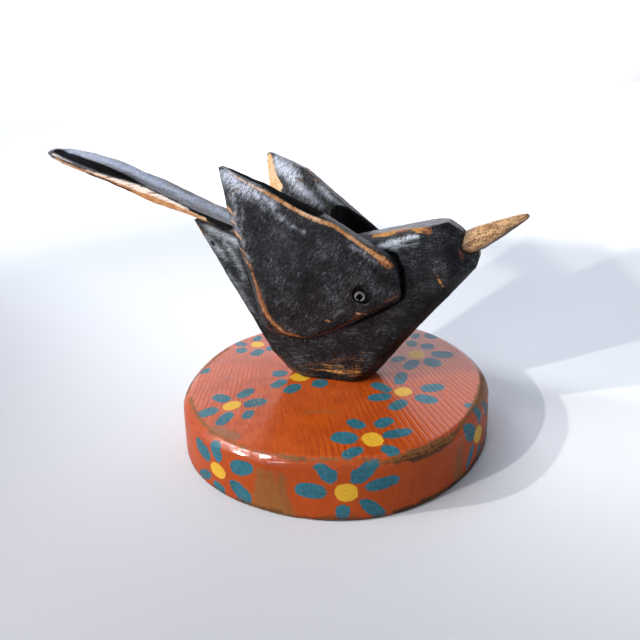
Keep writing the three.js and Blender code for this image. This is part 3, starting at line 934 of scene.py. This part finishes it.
@dataclass
class PaintedDisc:
    """The round foot board with its painted flowers."""

    wall: float = 77.0
    slope_starts: float = 22.5
    slope_radius: float = 76.6
    petal_reach: float = 11.5
    top_from: float = 20.0
    wall_middle: float = 13.0
    roundness: float = 2.4
    top_petals: tuple[tuple[float, ...], ...] = (
        (-65.6, 24.1, -24, 3.9, 2.7), (-61.3, 16.2, -39, 3.5, 3.1), (-50.8, 15.7, 87, 4.3, 3.6),
        (-46.1, 22.0, -64, 3.1, 2.0), (-59.3, 33.6, -87, 3.8, 2.5), (-46.1, -35.5, -16, 5.2, 3.3),
        (-36.5, -28.4, 69, 5.0, 3.2), (-27.9, -35.7, 38, 5.5, 3.6), (-26.4, -46.0, -86, 3.7, 2.7),
        (-35.5, -51.8, 88, 5.6, 3.1), (-46.3, -48.7, 55, 5.2, 3.6), (-28.0, -5.4, 7, 4.0, 3.4),
        (-23.9, -15.5, 68, 4.7, 3.3), (-15.2, -18.8, 69, 4.9, 3.6), (-3.5, -10.8, -88, 4.2, 4.0),
        (24.3, -41.9, -28, 4.7, 3.1), (35.8, -38.1, 58, 4.8, 3.3), (43.4, -44.8, 32, 6.4, 3.0),
        (22.5, -53.2, 0, 5.8, 4.3), (28.7, -62.3, 53, 4.9, 2.9), (43.0, -57.1, -21, 3.9, 2.9),
        (34.7, 2.9, -87, 6.4, 3.1), (27.3, -7.9, -29, 6.0, 3.1), (28.9, -17.3, 26, 5.5, 3.4),
        (38.9, -22.4, 63, 5.3, 3.2), (50.3, -14.3, -18, 5.4, 3.7), (51.6, -3.3, 28, 5.6, 3.8),
        (32.3, 44.2, -68, 4.1, 3.0), (41.7, 42.3, -39, 3.7, 3.5), (50.9, 33.6, 4, 5.8, 4.0),
        (47.4, 23.2, -53, 5.3, 4.1), (37.2, 18.7, 76, 5.8, 3.4), (29.0, 23.6, 49, 4.1, 3.0),
        (32.6, 54.7, 82, 3.8, 2.4), (41.1, 56.3, -36, 4.2, 3.1), (-69.8, -11.4, -57, 3.1, 3.0),
    )
    top_hearts: tuple[tuple[float, ...], ...] = (
        (-55.6, 25.7, -35, 4.3, 3.3), (-37.7, -40.5, 49, 4.4, 3.8), (-15.9, -6.7, -9, 5.2, 4.2),
        (34.3, -51.6, -50, 5.1, 4.2), (38.6, -10.1, 37, 4.3, 4.0), (37.6, 30.9, -83, 4.9, 4.3),
    )
    wall_petals: tuple[tuple[float, ...], ...] = (
        (-74.6, 22.9, -59, 6.8, 3.8), (-62.3, 22.5, 46, 7.7, 3.6), (-57.4, 15.6, 10, 6.9, 2.5),
        (-61.0, 5.2, -43, 5.8, 2.7), (-69.9, 4.3, 79, 3.4, 2.8), (-79.5, 13.1, -3, 6.6, 3.2),
        (-122.2, 17.8, -17, 6.3, 4.1), (-114.2, 22.5, -73, 5.7, 3.6), (-103.3, 18.4, 18, 6.2, 3.6),
        (-104.1, 6.0, -33, 6.4, 3.7), (-114.2, 3.0, -10, 3.9, 2.6), (-122.0, 4.8, 25, 5.3, 2.4),
        (-22.0, 21.0, -48, 5.6, 3.7), (-21.8, 9.0, 56, 5.8, 1.9), (-14.6, 5.2, 66, 4.4, 2.0),
        (-12.8, 28.3, 84, 5.2, 2.7), (-6.4, 22.2, -72, 5.0, 2.7), (-14.6, 22.8, 80, 2.4, 1.7),
        (-5.2, 7.6, 66, 5.0, 2.2),
    )
    wall_hearts: tuple[tuple[float, ...], ...] = (
        (-68.4, 12.7, 2, 4.7, 3.8), (-114.1, 11.8, 2, 4.9, 3.6), (-15.6, 15.3, -36, 4.9, 4.1),
    )
    hidden_top: tuple[tuple[float, float], ...] = ((-16.0, 54.0),)
    hidden_wall: tuple[float, ...] = (27.0, 68.0, 112.0, 156.0)

    def build(self) -> bpy.types.Object:
        """Makes the disc.

        Returns:
            The painted disc.
        """
        marks = (Mark.BROWN, Mark.SMUDGE, Mark.SAWN, Mark.SCRAPE, Mark.RED, Mark.GLARE)
        piece = CarvedPiece("base_disc", "painted_disc", DISC_STROKES, "orange_paint", grid=0.8,
                            passes=3, knife_depth=0.12, knife_span=14.0, marks=marks).build()
        self._paint_flowers(piece)
        DiscPaint().dress(piece)
        return piece

    def _paint_flowers(self, piece: bpy.types.Object) -> None:
        """Keeps how deep each point lies inside a petal or a heart.

        Args:
            piece: the disc's skin.
        """
        points = CarvedPiece.points(piece)
        x, y, z = points.T
        radius = np.hypot(x, y)
        on_top = radius < self.wall - 2.0
        angle = np.degrees(np.arctan2(y, x))
        up = z + np.where(z > self.slope_starts, np.maximum(0.0, self.slope_radius - radius), 0.0)
        petals = [Petal(*numbers) for numbers in self.top_petals]
        hearts = [Petal(*numbers) for numbers in self.top_hearts]
        for middle in self.hidden_top:
            petals += self._ring(middle, 20.0)
            hearts.append(Petal(*middle, 0.0, 4.6, 4.2))
        walls = [(turn, Petal(0.0, height, *rest)) for turn, height, *rest in self.wall_petals]
        middles = [(turn, Petal(0.0, height, *rest)) for turn, height, *rest in self.wall_hearts]
        for turn in self.hidden_wall:
            walls += [(turn, dab) for dab in self._ring((0.0, self.wall_middle), turn)]
            middles.append((turn, Petal(0.0, self.wall_middle, 0.0, 4.6, 3.9)))
        for mark, dabs, round_it in ((Mark.PETAL, petals, walls), (Mark.HEART, hearts, middles)):
            depth = np.where((z > self.top_from) & on_top, self._depth(x, y, dabs), OUTSIDE)
            for turn, dab in round_it:
                depth = np.maximum(depth, self._on_wall(angle, up, radius, turn, dab))
            CarvedPiece.keep(piece, mark, depth)

    def _ring(self, middle: tuple[float, float], first: float) -> list[Petal]:
        """Six petals round a heart.

        Args:
            middle: the heart's place.
            first: the turn of the first petal, in degrees.

        Returns:
            The petals.
        """
        petals = []
        for number in range(6):
            turn = first + 60.0 * number + 7.0 * math.sin(3.0 * number + first)
            out = self.petal_reach + 0.8 * math.sin(2.0 * number + first)
            place = (middle[0] + out * math.cos(math.radians(turn)),
                     middle[1] + out * math.sin(math.radians(turn)))
            petals.append(Petal(*place, turn, 4.8, 2.9))
        return petals

    def _on_wall(self, angle: np.ndarray, up: np.ndarray, radius: np.ndarray, turn: float,
                 dab: Petal) -> np.ndarray:
        """How deep each point lies in a dab on the disc's wall.

        Args:
            angle: each point's angle round the disc.
            up: each point's height, carried on over the slope and the top.
            radius: each point's distance from the disc's middle.
            turn: the angle of the dab's flower.
            dab: the dab.

        Returns:
            The depth in millimetres, below 0 outside.
        """
        round_the_wall = np.radians((angle - turn + 180.0) % 360.0 - 180.0) * self.wall
        depth = self._depth(round_the_wall, up, [dab])
        return np.where(radius > self.wall - 12.0, depth, OUTSIDE)

    def _depth(self, across: np.ndarray, up: np.ndarray, dabs: list[Petal]) -> np.ndarray:
        """How deep each point lies inside the nearest dab.

        Args:
            across: the first place of each point.
            up: the second place of each point.
            dabs: the dabs.

        Returns:
            The depth in millimetres, below 0 outside.
        """
        best = np.full(len(across), OUTSIDE)
        for dab in dabs:
            turn = math.radians(dab.turn)
            u = (across - dab.across) * math.cos(turn) + (up - dab.up) * math.sin(turn)
            v = (up - dab.up) * math.cos(turn) - (across - dab.across) * math.sin(turn)
            ring = (np.abs(u / dab.long) ** self.roundness
                    + np.abs(v / dab.wide) ** self.roundness) ** (1 / self.roundness)
            best = np.maximum(best, (1.0 - ring) * dab.wide)
        return best


BODY_STROKES = strokes({
    Mark.BARE: (
        (1.2, 2.4, 24.9, -0.8, 100.3, 29.1, -1.3, 101.2, 32.3, -1.1, 102.1),
        (0.7, 0.7, 34.9, -0.6, 102.7, 38.0, 2.0, 103.2),
        (0.5, 1.9, 40.6, -1.8, 103.5, 42.5, -2.4, 103.9, 45.5, -3.2, 104.2),
        (1.8, 0.7, 45.0, -3.0, 104.2, 47.0, -3.5, 104.2, 48.6, -3.8, 103.9),
        (0.3, 0.3, 53.7, -4.3, 82.1, 55.9, -4.1, 78.9),
        (0.6, 0.6, -62.7, -7.5, 105.2, -61.0, -7.5, 101.8, -59.6, -7.5, 98.8),
    ),
    Mark.RED: (
        (1.6, 1.6, 24.9, -0.8, 99.6, 32.3, -1.1, 101.4, 40.4, -1.3, 103.2),
        (1.0, 1.6, 42.4, -2.0, 103.4, 45.0, -3.0, 103.6, 49.2, -3.9, 103.4),
    ),
    Mark.PAINTED_SHADE: (
        (5.0, 4.0, 47.5, 11.7, 104.9, 55.6, 7.6, 106.4, 59.6, 7.7, 104.8, 62.8, 6.1, 102.5),
        (9.0, 8.0, 62.0, -2.0, 88.0, 57.0, -3.0, 76.0, 46.0, -4.0, 66.0, 36.0, -5.0, 56.0, 27.0,
         -6.0, 44.0),
        (7.0, 7.0, 56.0, -2.0, 97.0, 60.0, -2.0, 92.0),
        (6.0, 3.0, 14.0, -7.5, 50.0, -6.0, -7.5, 46.0),
    ),
    Mark.PAINTED_SHEEN: (
        (2.4, 2.0, 47.5, 9.7, 104.9, 55.6, 7.0, 106.4, 59.6, 7.0, 104.8, 62.8, 5.6, 102.5),
        (2.9, 2.9, 28.2, -5.6, 96.4, 33.6, -5.2, 98.2, 40.7, -5.0, 100.2, 44.6, -4.9, 101.0),
        (3.4, 2.6, 34.4, -5.6, 96.4, 40.0, -5.3, 97.4, 45.0, -5.0, 98.2),
        (2.0, 1.4, 36.6, -5.6, 89.6, 39.0, -5.5, 88.4),
        (3.0, 3.0, -58.7, -7.5, 100.3, -53.9, -7.5, 95.4, -49.4, -7.5, 88.4),
        (4.6, 4.6, -55.2, -7.5, 103.6, -48.6, -7.5, 101.0, -42.4, -7.5, 98.0),
        (3.0, 3.2, -49.0, -7.5, 97.5, -45.4, -7.5, 92.0, -42.9, -7.5, 86.0, -40.5, -7.5, 80.0),
        (2.4, 2.4, -49.2, -7.5, 82.2, -44.6, -7.5, 75.0, -41.2, -7.5, 67.7),
        (2.0, 2.0, -41.2, -7.5, 67.7, -35.6, -7.5, 58.3, -30.0, -7.5, 48.8),
    ),
    Mark.BROWN: (
        (0.7, 1.5, 62.4, -1.2, 95.0, 63.3, -1.2, 91.4),
        (0.9, 0.9, 53.3, -4.3, 83.5, 55.1, -4.2, 79.8, 57.9, -2.0, 75.4),
        (0.3, 0.3, 43.6, -5.1, 62.0, 35.7, -5.7, 52.5, 29.7, -5.6, 44.6, 24.5, -5.3, 37.4),
        (0.6, 0.6, -15.0, -7.5, 33.3, -3.9, -7.5, 35.6, 6.8, -7.5, 38.9, 15.0, -7.3, 40.7),
    ),
    Mark.GLARE: (
        (2.0, 1.7, 28.6, -5.6, 96.8, 33.6, -5.2, 98.4, 40.7, -5.0, 100.4, 44.2, -4.9, 101.2),
        (0.8, 0.5, 34.4, -5.6, 96.4, 40.0, -5.3, 97.4, 45.0, -5.0, 98.2),
    ),
    Mark.STREAKED: (
        (1.6, 3.2, -9.5, -7.5, 32.4, 1.2, -7.5, 32.3, 11.6, -7.5, 32.2, 15.2, -7.3, 32.8),
        (0.6, 2.0, -8.5, -7.5, 35.0, 4.4, -7.5, 35.2, 16.0, -7.2, 36.3),
        (0.2, 1.4, 3.0, -7.5, 39.5, 18.0, -7.0, 40.0),
        (0.2, 0.9, 8.1, -7.5, 42.9, 18.2, -7.0, 44.1),
        (1.2, 1.2, -20.5, -5.5, 30.5, -15.4, -7.3, 29.2, -8.9, -7.2, 28.6),
    ),
    Mark.DARK: (
        (0.9, 0.9, -55.9, -7.5, 97.3, -55.2, -7.5, 96.1),
        (2.4, 2.4, 33.7, -5.8, 92.5, 36.9, -5.6, 86.0, 37.4, -5.5, 79.4, 37.1, -5.6, 73.6),
        (2.2, 0.1, 37.1, -5.6, 73.6, 31.0, -6.0, 68.1, 22.7, -6.7, 63.2, 13.9, -7.4, 58.2, 4.0,
         -7.5, 55.0),
    ),
})
TAIL_STROKES = strokes({
    Mark.DARK: (
        (2.0, 2.3, -146.9, 1.2, 142.4, -139.4, -1.1, 140.4, -128.3, -2.9, 137.3, -118.2, -3.8,
         134.2, -108.5, -4.4, 131.3),
        (2.3, 0.1, -108.5, -4.4, 131.3, -102.0, -4.0, 128.7, -96.6, -4.0, 126.4, -91.0, -4.2,
         124.6),
        (0.2, 1.6, -71.0, -5.6, 114.4, -67.8, -5.6, 113.2, -62.6, -5.5, 111.0, -58.4, -5.5, 109.3),
        (1.6, 2.0, -58.4, -5.5, 109.3, -52.1, -5.5, 106.9, -46.4, -5.5, 104.5),
    ),
    Mark.PALE: (
        (0.7, 0.1, -147.3, -1.7, 141.2, -139.8, -4.0, 139.0, -133.6, -4.3, 136.9),
        (0.1, 1.7, -127.0, -4.8, 133.8, -119.0, -5.2, 131.0, -110.9, -5.3, 128.4, -102.4, -5.4,
         125.9, -95.5, -5.4, 123.6),
        (1.7, 0.5, -95.5, -5.4, 123.6, -86.7, -5.5, 120.6, -77.9, -5.6, 117.2, -68.0, -5.5, 113.2),
    ),
    Mark.BARE: (
        (1.3, 0.4, -144.1, -3.0, 138.7, -138.3, -3.8, 136.2, -132.0, -4.3, 133.8, -125.9, -4.5,
         131.7),
        (0.2, 2.1, -128.0, -4.7, 133.4, -115.1, -5.0, 129.5, -103.0, -5.2, 125.2, -90.0, -5.3,
         120.6),
        (2.1, 1.3, -90.0, -5.3, 120.6, -77.1, -5.3, 115.4, -67.9, -5.4, 111.4, -59.5, -5.6, 107.8),
        (0.4, 1.2, -100.6, -4.8, 122.4, -94.0, -4.8, 119.6, -87.8, -4.9, 117.5),
        (1.2, 0.5, -87.8, -5.0, 117.7, -77.1, -5.3, 113.8, -67.9, -5.4, 110.2, -60.9, -5.6, 107.4,
         -54.0, -5.6, 104.7),
    ),
    Mark.BROWN: (
        (1.8, 1.8, -132.0, -4.4, 134.0, -118.9, -4.6, 129.1, -105.0, -4.9, 124.2, -87.8, -4.9,
         117.5),
    ),
    Mark.PAINTED_SHEEN: (
        (8.0, 8.0, -138.1, 2.8, 141.6, -127.1, 4.1, 138.6, -115.8, 5.8, 135.2),
        (8.0, 7.0, -115.8, 5.8, 135.2, -97.0, 6.0, 128.0, -78.0, 6.0, 120.6, -50.0, 6.0, 109.6),
    ),
})


@dataclass
class BirdBody:
    """The board with the bird's body, neck and head, and the tail strip laid on it."""

    def build(self) -> list[bpy.types.Object]:
        """Makes the body and the tail.

        Returns:
            The two pieces.
        """
        body = CarvedPiece("body", "bird_body", BODY_STROKES, grid=0.55, passes=5)
        tail = CarvedPiece("tail", "bird_tail", TAIL_STROKES, knife_depth=0.75, knife_span=17.0)
        pieces = [body.build(), tail.build()]
        BlackStain(draw=0.22, ochre=(0.30, 0.12, 0.025), tan=(0.62, 0.29, 0.065),
                   scratch=0.55).dress(pieces[0])
        # The tail's bluish painted sheen stands for the bright room reflected in its top.
        BlackStain(gloss=0.5, painted_sheen_colour=(0.43, 0.53, 0.75), relief=0.2, scratch=0.4).dress(pieces[1])
        return pieces


RIGHT_WING_STROKES = strokes({
    Mark.PALE: (
        (0.25, 0.25, -34.4, -23.7, 122.8, -30.5, -23.6, 124.6, -26.6, -23.4, 126.0),
        (0.2, 0.2, -32.4, -23.8, 126.0, -29.2, -23.5, 127.2),
        (0.5, 0.25, -33.1, -23.4, 133.3, -29.6, -23.5, 131.0, -25.4, -23.1, 128.3, -18.6, -22.4,
         124.7),
        (0.15, 0.3, -4.0, -20.6, 116.0, 5.6, -19.1, 111.2),
    ),
    Mark.DARK: (
        (4.3, 4.3, -31.5, -18.0, 133.0, -24.9, -17.5, 129.7, -12.3, -17.0, 123.2),
        (4.3, 4.3, -12.3, -17.0, 123.2, -3.3, -16.5, 118.1, 2.5, -16.0, 115.0),
    ),
    Mark.BARE: (
        (0.3, 0.75, -29.6, -23.5, 131.0, -21.5, -22.8, 126.1, -18.6, -22.4, 124.7, -13.2, -21.6,
         121.6),
        (0.75, 1.0, -13.2, -21.6, 121.6, -6.9, -21.0, 117.4, -0.6, -20.1, 113.8, 5.6, -19.1, 111.0),
        (1.0, 0.9, 5.6, -19.1, 111.0, 11.8, -17.7, 108.6, 15.1, -17.3, 105.9, 18.0, -16.9, 103.6,
         22.3, -16.4, 100.2),
        (0.7, 1.1, 22.3, -16.4, 100.2, 28.4, -15.5, 95.8, 31.8, -14.9, 93.7),
        (1.1, 0.2, 31.8, -14.9, 93.7, 34.6, -14.6, 91.0),
        (1.0, 0.4, -36.4, -21.9, 117.1, -32.9, -22.7, 114.2),
        (0.7, 0.3, -35.6, -21.2, 111.1, -32.8, -22.2, 109.6),
        (1.1, 0.5, -35.6, -20.2, 105.8, -32.1, -21.4, 103.0),
        (0.6, 0.3, -33.7, -19.6, 97.8, -31.1, -20.5, 95.2),
        (0.45, 0.45, -32.6, -19.1, 92.4, -29.9, -19.9, 90.3),
        (0.3, 0.3, -30.2, -19.2, 86.2, -29.3, -19.0, 82.7, -28.8, -18.8, 80.7),
        (0.2, 0.5, -28.3, -17.5, 70.7, -26.1, -17.0, 65.0, -23.7, -16.3, 60.7, -19.3, -15.5, 55.9),
        (0.55, 0.55, 3.5, -14.4, 62.7, 4.9, -14.3, 62.5),
        (0.5, 0.5, 18.6, -13.7, 67.0, 22.5, -12.5, 66.5),
    ),
    Mark.BROWN: (
        (0.8, 0.8, -33.1, -19.5, 95.4, -29.9, -19.9, 90.3, -28.9, -19.3, 84.8),
        (1.7, 1.7, -28.4, -18.6, 78.7, -27.7, -17.7, 70.8, -26.1, -17.0, 65.0, -22.8, -16.1, 59.6,
         -17.9, -15.2, 54.9, -11.6, -14.4, 52.9),
        (0.9, 0.9, -12.8, -14.0, 52.6, -6.8, -13.4, 52.9, -1.1, -11.7, 53.6, 7.0, -12.4, 57.8, 14.5,
         -12.3, 61.9, 20.3, -11.7, 64.6),
        (0.9, 0.9, 15.0, -13.6, 64.0, 18.9, -13.5, 65.7, 23.7, -13.2, 67.9, 28.3, -12.6, 69.9),
        (0.7, 0.7, 31.7, -13.3, 73.3, 36.3, -13.2, 75.9, 37.9, -12.2, 78.4),
    ),
    Mark.RED: (
        (0.2, 1.5, -32.1, -19.5, 93.4, -29.9, -19.9, 88.3, -28.4, -18.6, 78.7, -27.7, -17.7, 70.8),
        (1.6, 0.5, -27.7, -17.7, 70.8, -26.1, -17.0, 65.0, -22.8, -16.1, 59.6, -17.9, -15.2, 54.9,
         -9.6, -14.2, 52.7),
        (0.3, 0.6, -9.6, -13.9, 52.7, -1.1, -11.9, 53.8, 7.0, -12.4, 57.8, 18.9, -12.8, 64.9),
        (0.6, 1.9, 22.3, -16.4, 100.2, 28.4, -15.5, 95.8, 34.2, -14.7, 91.0),
    ),
    Mark.PAINTED_SHEEN: (
        (6.0, 6.0, -33.4, -24.4, 131.4, -29.8, -23.9, 127.9, -25.7, -23.3, 125.2),
        (4.5, 4.5, -23.9, -23.1, 124.7, -19.0, -22.4, 121.5, -14.8, -21.7, 118.8),
        (2.6, 2.6, -19.5, -22.0, 118.0, -13.7, -21.2, 114.4, -7.1, -20.1, 108.9, -2.0, -19.4,
         106.1),
        (2.8, 2.2, 19.6, -16.9, 98.8, 23.0, -16.5, 97.0, 26.3, -16.0, 94.2, 29.2, -15.4, 91.2),
        (3.0, 2.8, -32.3, -23.4, 124.4, -32.0, -23.1, 119.0, -33.0, -22.5, 113.0),
        (2.4, 1.6, -29.0, -22.5, 120.0, -29.0, -22.2, 115.0, -31.0, -21.8, 108.0),
        (2.4, 1.8, -34.2, -22.3, 112.1, -32.4, -21.8, 104.3, -29.7, -20.1, 91.8),
    ),
    Mark.GLARE: (
        (0.9, 0.6, -31.8, -23.9, 130.8, -26.3, -23.5, 126.5, -22.5, -22.7, 122.8),
    ),
    Mark.PAINTED_SHADE: (
        (7.0, 5.0, 34.0, -13.5, 80.0, 24.0, -13.5, 68.0, 4.0, -13.0, 58.0),
        (7.0, 8.0, 29.5, -15.0, 86.5, 35.0, -14.0, 82.0),
        (6.0, 4.0, -4.0, -17.0, 84.0, -8.0, -16.5, 70.0, -14.0, -15.5, 60.0),
    ),
})
LEFT_WING_STROKES = strokes({
    Mark.BARE: (
        (3.4, 3.4, -37.2, 28.9, 128.6, -36.9, 29.1, 124.0, -36.2, 29.0, 119.6),
        (2.6, 2.6, -36.2, 29.0, 119.6, -34.0, 28.2, 116.4),
        (2.2, 2.2, -36.7, 28.2, 132.3, -38.5, 29.6, 126.1, -39.5, 30.4, 118.8),
        (2.0, 2.0, -36.2, 28.5, 127.2, -35.1, 28.4, 122.2, -32.3, 27.5, 118.2),
        (1.1, 1.1, -18.6, 29.3, 127.6, -15.2, 27.9, 125.9),
        (1.0, 1.0, -4.3, 27.1, 117.2, -1.9, 26.5, 115.2),
    ),
    Mark.BROWN: (
        (0.8, 0.8, 7.6, 23.8, 107.6, 10.4, 22.7, 105.4),
        (0.7, 0.7, -21.7, 24.4, 122.6, -17.8, 23.9, 121.1),
    ),
    Mark.PAINTED_SHEEN: (
        (7.0, 7.0, -31.7, 26.3, 129.4, -26.6, 25.2, 126.5, -22.8, 24.6, 122.6),
        (6.0, 3.2, -21.9, 24.3, 119.6, -14.4, 23.1, 113.8, -9.0, 22.2, 109.4),
        (3.0, 3.0, -9.6, 22.8, 118.7, -2.3, 21.6, 113.0, 4.5, 20.6, 108.3),
    ),
    Mark.GLARE: (
        (1.3, 0.8, -31.5, 26.2, 131.0, -27.5, 25.4, 127.5, -24.9, 25.0, 123.5),
    ),
    Mark.DARK: (
        (5.5, 5.5, 1.7, 20.7, 104.3, 9.0, 19.7, 100.6, 16.2, 18.6, 97.1),
    ),
})


@dataclass
class Wings:
    """The two flat wings."""

    hatch: Point = (0.55, 0.0, 0.83)
    # Colour of the painted sheen on both wings.
    painted_sheen_colour: Colour = (0.72, 0.78, 0.95)

    def build(self) -> list[bpy.types.Object]:
        """Makes the two wings.

        Returns:
            The right wing and the left wing.
        """
        right = CarvedPiece("wing_right", "right_wing", RIGHT_WING_STROKES)
        left = CarvedPiece("wing_left", "left_wing", LEFT_WING_STROKES, knife_depth=0.5)
        pieces = [right.build(), left.build()]
        BlackStain(self.hatch, 0.3, painted_sheen_colour=self.painted_sheen_colour).dress(pieces[0])
        BlackStain(self.hatch, 0.3, painted_sheen_colour=self.painted_sheen_colour, ochre=(0.72, 0.40, 0.19),
                   tan=(0.86, 0.58, 0.37)).dress(pieces[1])
        return pieces


BEAK_STROKES = strokes({
    Mark.BROWN: (
        (1.3, 1.2, 71.0, 1.8, 94.4, 74.6, 1.8, 96.5, 78.6, 2.2, 99.6),
        (1.2, 0.6, 78.6, 2.2, 99.6, 83.6, 2.8, 103.6, 87.6, 3.2, 106.2),
    ),
})


@dataclass
class Beak:
    """The whittled peg of bare wood."""

    root: Point = (66.6, 4.5, 97.0)

    def build(self) -> bpy.types.Object:
        """Makes the beak.

        Returns:
            The beak.
        """
        piece = CarvedPiece("beak", "bird_beak", BEAK_STROKES, "bare_wood", grid=0.3, passes=5,
                            knife_depth=0.3, knife_span=5.0, marks=(Mark.BROWN,)).build()
        BareWood(self.root).dress(piece)
        return piece


@dataclass
class WingScrews:
    """The steel screws that hold the wings; their own solids stay."""

    right_face: Point = (19.8, -11.9, 74.6)
    left_face: Point = (17.4, 23.6, 72.2)

    def build(self) -> list[bpy.types.Object]:
        """Dresses the screws.

        Returns:
            The two screws.
        """
        right, left = frame["nodes"]["screw_right"], frame["nodes"]["screw_left"]
        ScrewSteel(self.right_face).dress(right)
        ScrewSteel(self.left_face).dress(left)
        return [right, left]


def stand(side: Point, up: Point, back: Point, place: Point) -> Matrix:
    """The placing of a thing by the three directions that it points in.

    Args:
        side: its +X.
        up: its +Y.
        back: its +Z.
        place: its middle, in metres.

    Returns:
        The placing.
    """
    turn = Matrix((side, up, back)).transposed()
    return Matrix.Translation(Vector(place)) @ turn.to_4x4()


@dataclass(frozen=True)
class SoftLight:
    """A soft lamp: where its two ends hang, how broad it is in metres, and its power.

    An even lamp lights near and far places alike, with its power meant for one metre.
    """

    name: str
    start: Point
    end: Point
    breadth: float
    power: float
    tint: Colour = (1.0, 1.0, 1.0)
    target: Point = (0.0, 0.0, 0.05)
    even: bool = False

    def hang(self) -> None:
        """Puts the lamp in the scene."""
        start, end = Vector(self.start), Vector(self.end)
        middle = (start + end) / 2.0
        lamp = bpy.data.lights.new(self.name, "AREA")
        lamp.shape = "RECTANGLE"
        lamp.size, lamp.size_y = (end - start).length, self.breadth
        lamp.energy = self.power
        lamp.color = self.tint
        if self.even:
            b = Bench(lamp)
            power = b.node("ShaderNodeLightFalloff", {}, {"Strength": 1.0}, "Constant")
            glow = b.node("ShaderNodeEmission", {}, {"Strength": power})
            b.close("ShaderNodeOutputLight", glow)
        holder = bpy.data.objects.new(self.name, lamp)
        bpy.context.scene.collection.objects.link(holder)
        back = (middle - Vector(self.target)).normalized()
        side = (end - start) - back * (end - start).dot(back)
        side.normalize()
        holder.matrix_world = stand(side, back.cross(side), back, middle)
        holder.visible_camera = False


@dataclass
class Studio:
    """Table, lamps, sky and camera."""

    lens: float = 31.5
    sensor: float = 36.0
    eye: Point = (0.088081, -0.242002, 0.163138)
    rightward: Point = (0.940826, 0.331884, -0.068554)
    upward: Point = (-0.067198, 0.38097, 0.922142)
    forward: Point = (-0.332161, 0.862969, -0.380728)
    behind: Point = (-0.33, 0.86, 0.40)
    above: Point = (-0.312, 0.700, 0.643)
    bright: Colour = (1.85, 1.86, 2.03)
    dim: Colour = (0.42, 0.44, 0.50)
    dark: Colour = (0.13, 0.135, 0.16)
    floor_size: float = 14.0

    def build(self) -> None:
        """Makes the whole studio."""
        self._floor()
        self._lamps()
        self._sky()
        self._camera()
        bpy.context.scene.view_settings.view_transform = "Standard"

    def _floor(self) -> None:
        """Lays the table top."""
        bpy.ops.object.select_all(action="DESELECT")
        bpy.ops.mesh.primitive_plane_add(size=self.floor_size, location=(0.0, 0.0, -0.0001))
        floor = bpy.context.view_layer.objects.active
        floor.name = "table_top"
        bpy.ops.object.transform_apply(location=True, rotation=True, scale=True)
        PaleFloor().dress(floor)

    def _lamps(self) -> None:
        """Hangs the lamps."""
        warm = (1.0, 0.95, 0.86)
        spot = self._toward
        lamps = (
            SoftLight("key_lamp", (-0.161, -0.140, 0.171), (-0.157, -0.144, 0.171), 0.006, 5.0,
                      warm, even=True),
            SoftLight("second_lamp", (-0.145, -0.251, 0.211), (-0.139, -0.255, 0.211), 0.006, 4.6,
                      warm, even=True),
            SoftLight("high_strip", spot(-175.0, 34.0, 2.4), spot(-128.0, 59.0, 2.4), 0.075, 16.5),
            SoftLight("front_lamp", spot(-110.0, 24.0, 1.8), spot(-92.0, 24.0, 1.8), 0.30, 4.6),
        )
        for lamp in lamps:
            lamp.hang()

    @staticmethod
    def _toward(around: float, up: float, away: float) -> Point:
        """A place seen from the object.

        Args:
            around: degrees from +X towards +Y.
            up: degrees above the table.
            away: distance in metres.

        Returns:
            The place, in metres.
        """
        around, up = math.radians(around), math.radians(up)
        return (away * math.cos(around) * math.cos(up), away * math.sin(around) * math.cos(up),
                away * math.sin(up))

    def _sky(self) -> None:
        """Gives the room a bright side behind the object and a dim side before it."""
        world = bpy.data.worlds.new("room")
        bpy.context.scene.world = world
        b = Bench(world)
        seen = b.node("ShaderNodeTexCoord", {}, {}, "Generated")
        facing = b.vector("DOT_PRODUCT", "Value", seen, tuple(Vector(self.behind).normalized()))
        colour = b.mix(facing.rise(-0.35, 0.35), self.dark, self.dim)
        shade = b.vector("DOT_PRODUCT", "Value", seen, tuple(Vector(self.above).normalized()))
        light = facing.rise(0.68, 0.96) * (1.0 - shade.rise(0.966, 0.980) * 0.85)
        colour = b.mix(light, colour, self.bright)
        room = b.node("ShaderNodeBackground", {}, {"Color": colour, "Strength": 1.0})
        b.close("ShaderNodeOutputWorld", room)

    def _camera(self) -> None:
        """Places the camera where the photograph was taken."""
        lens = bpy.data.cameras.new("view")
        lens.lens = self.lens
        lens.sensor_width = self.sensor
        lens.clip_start, lens.clip_end = 0.01, 60.0
        camera = bpy.data.objects.new("view", lens)
        bpy.context.scene.collection.objects.link(camera)
        back = tuple(-part for part in self.forward)
        camera.matrix_world = stand(self.rightward, self.upward, back, self.eye)
        bpy.context.scene.camera = camera


def main() -> None:
    """Builds the studio and every piece."""
    logging.basicConfig(level=logging.INFO, format="%(message)s")
    Studio().build()
    pieces = [PaintedDisc().build(), *BirdBody().build(), *Wings().build(), Beak().build(),
              *WingScrews().build()]
    for piece in pieces:
        LOG.info("%s: %d faces", piece.name, len(piece.data.polygons))


if __name__ == "__main__":
    main()
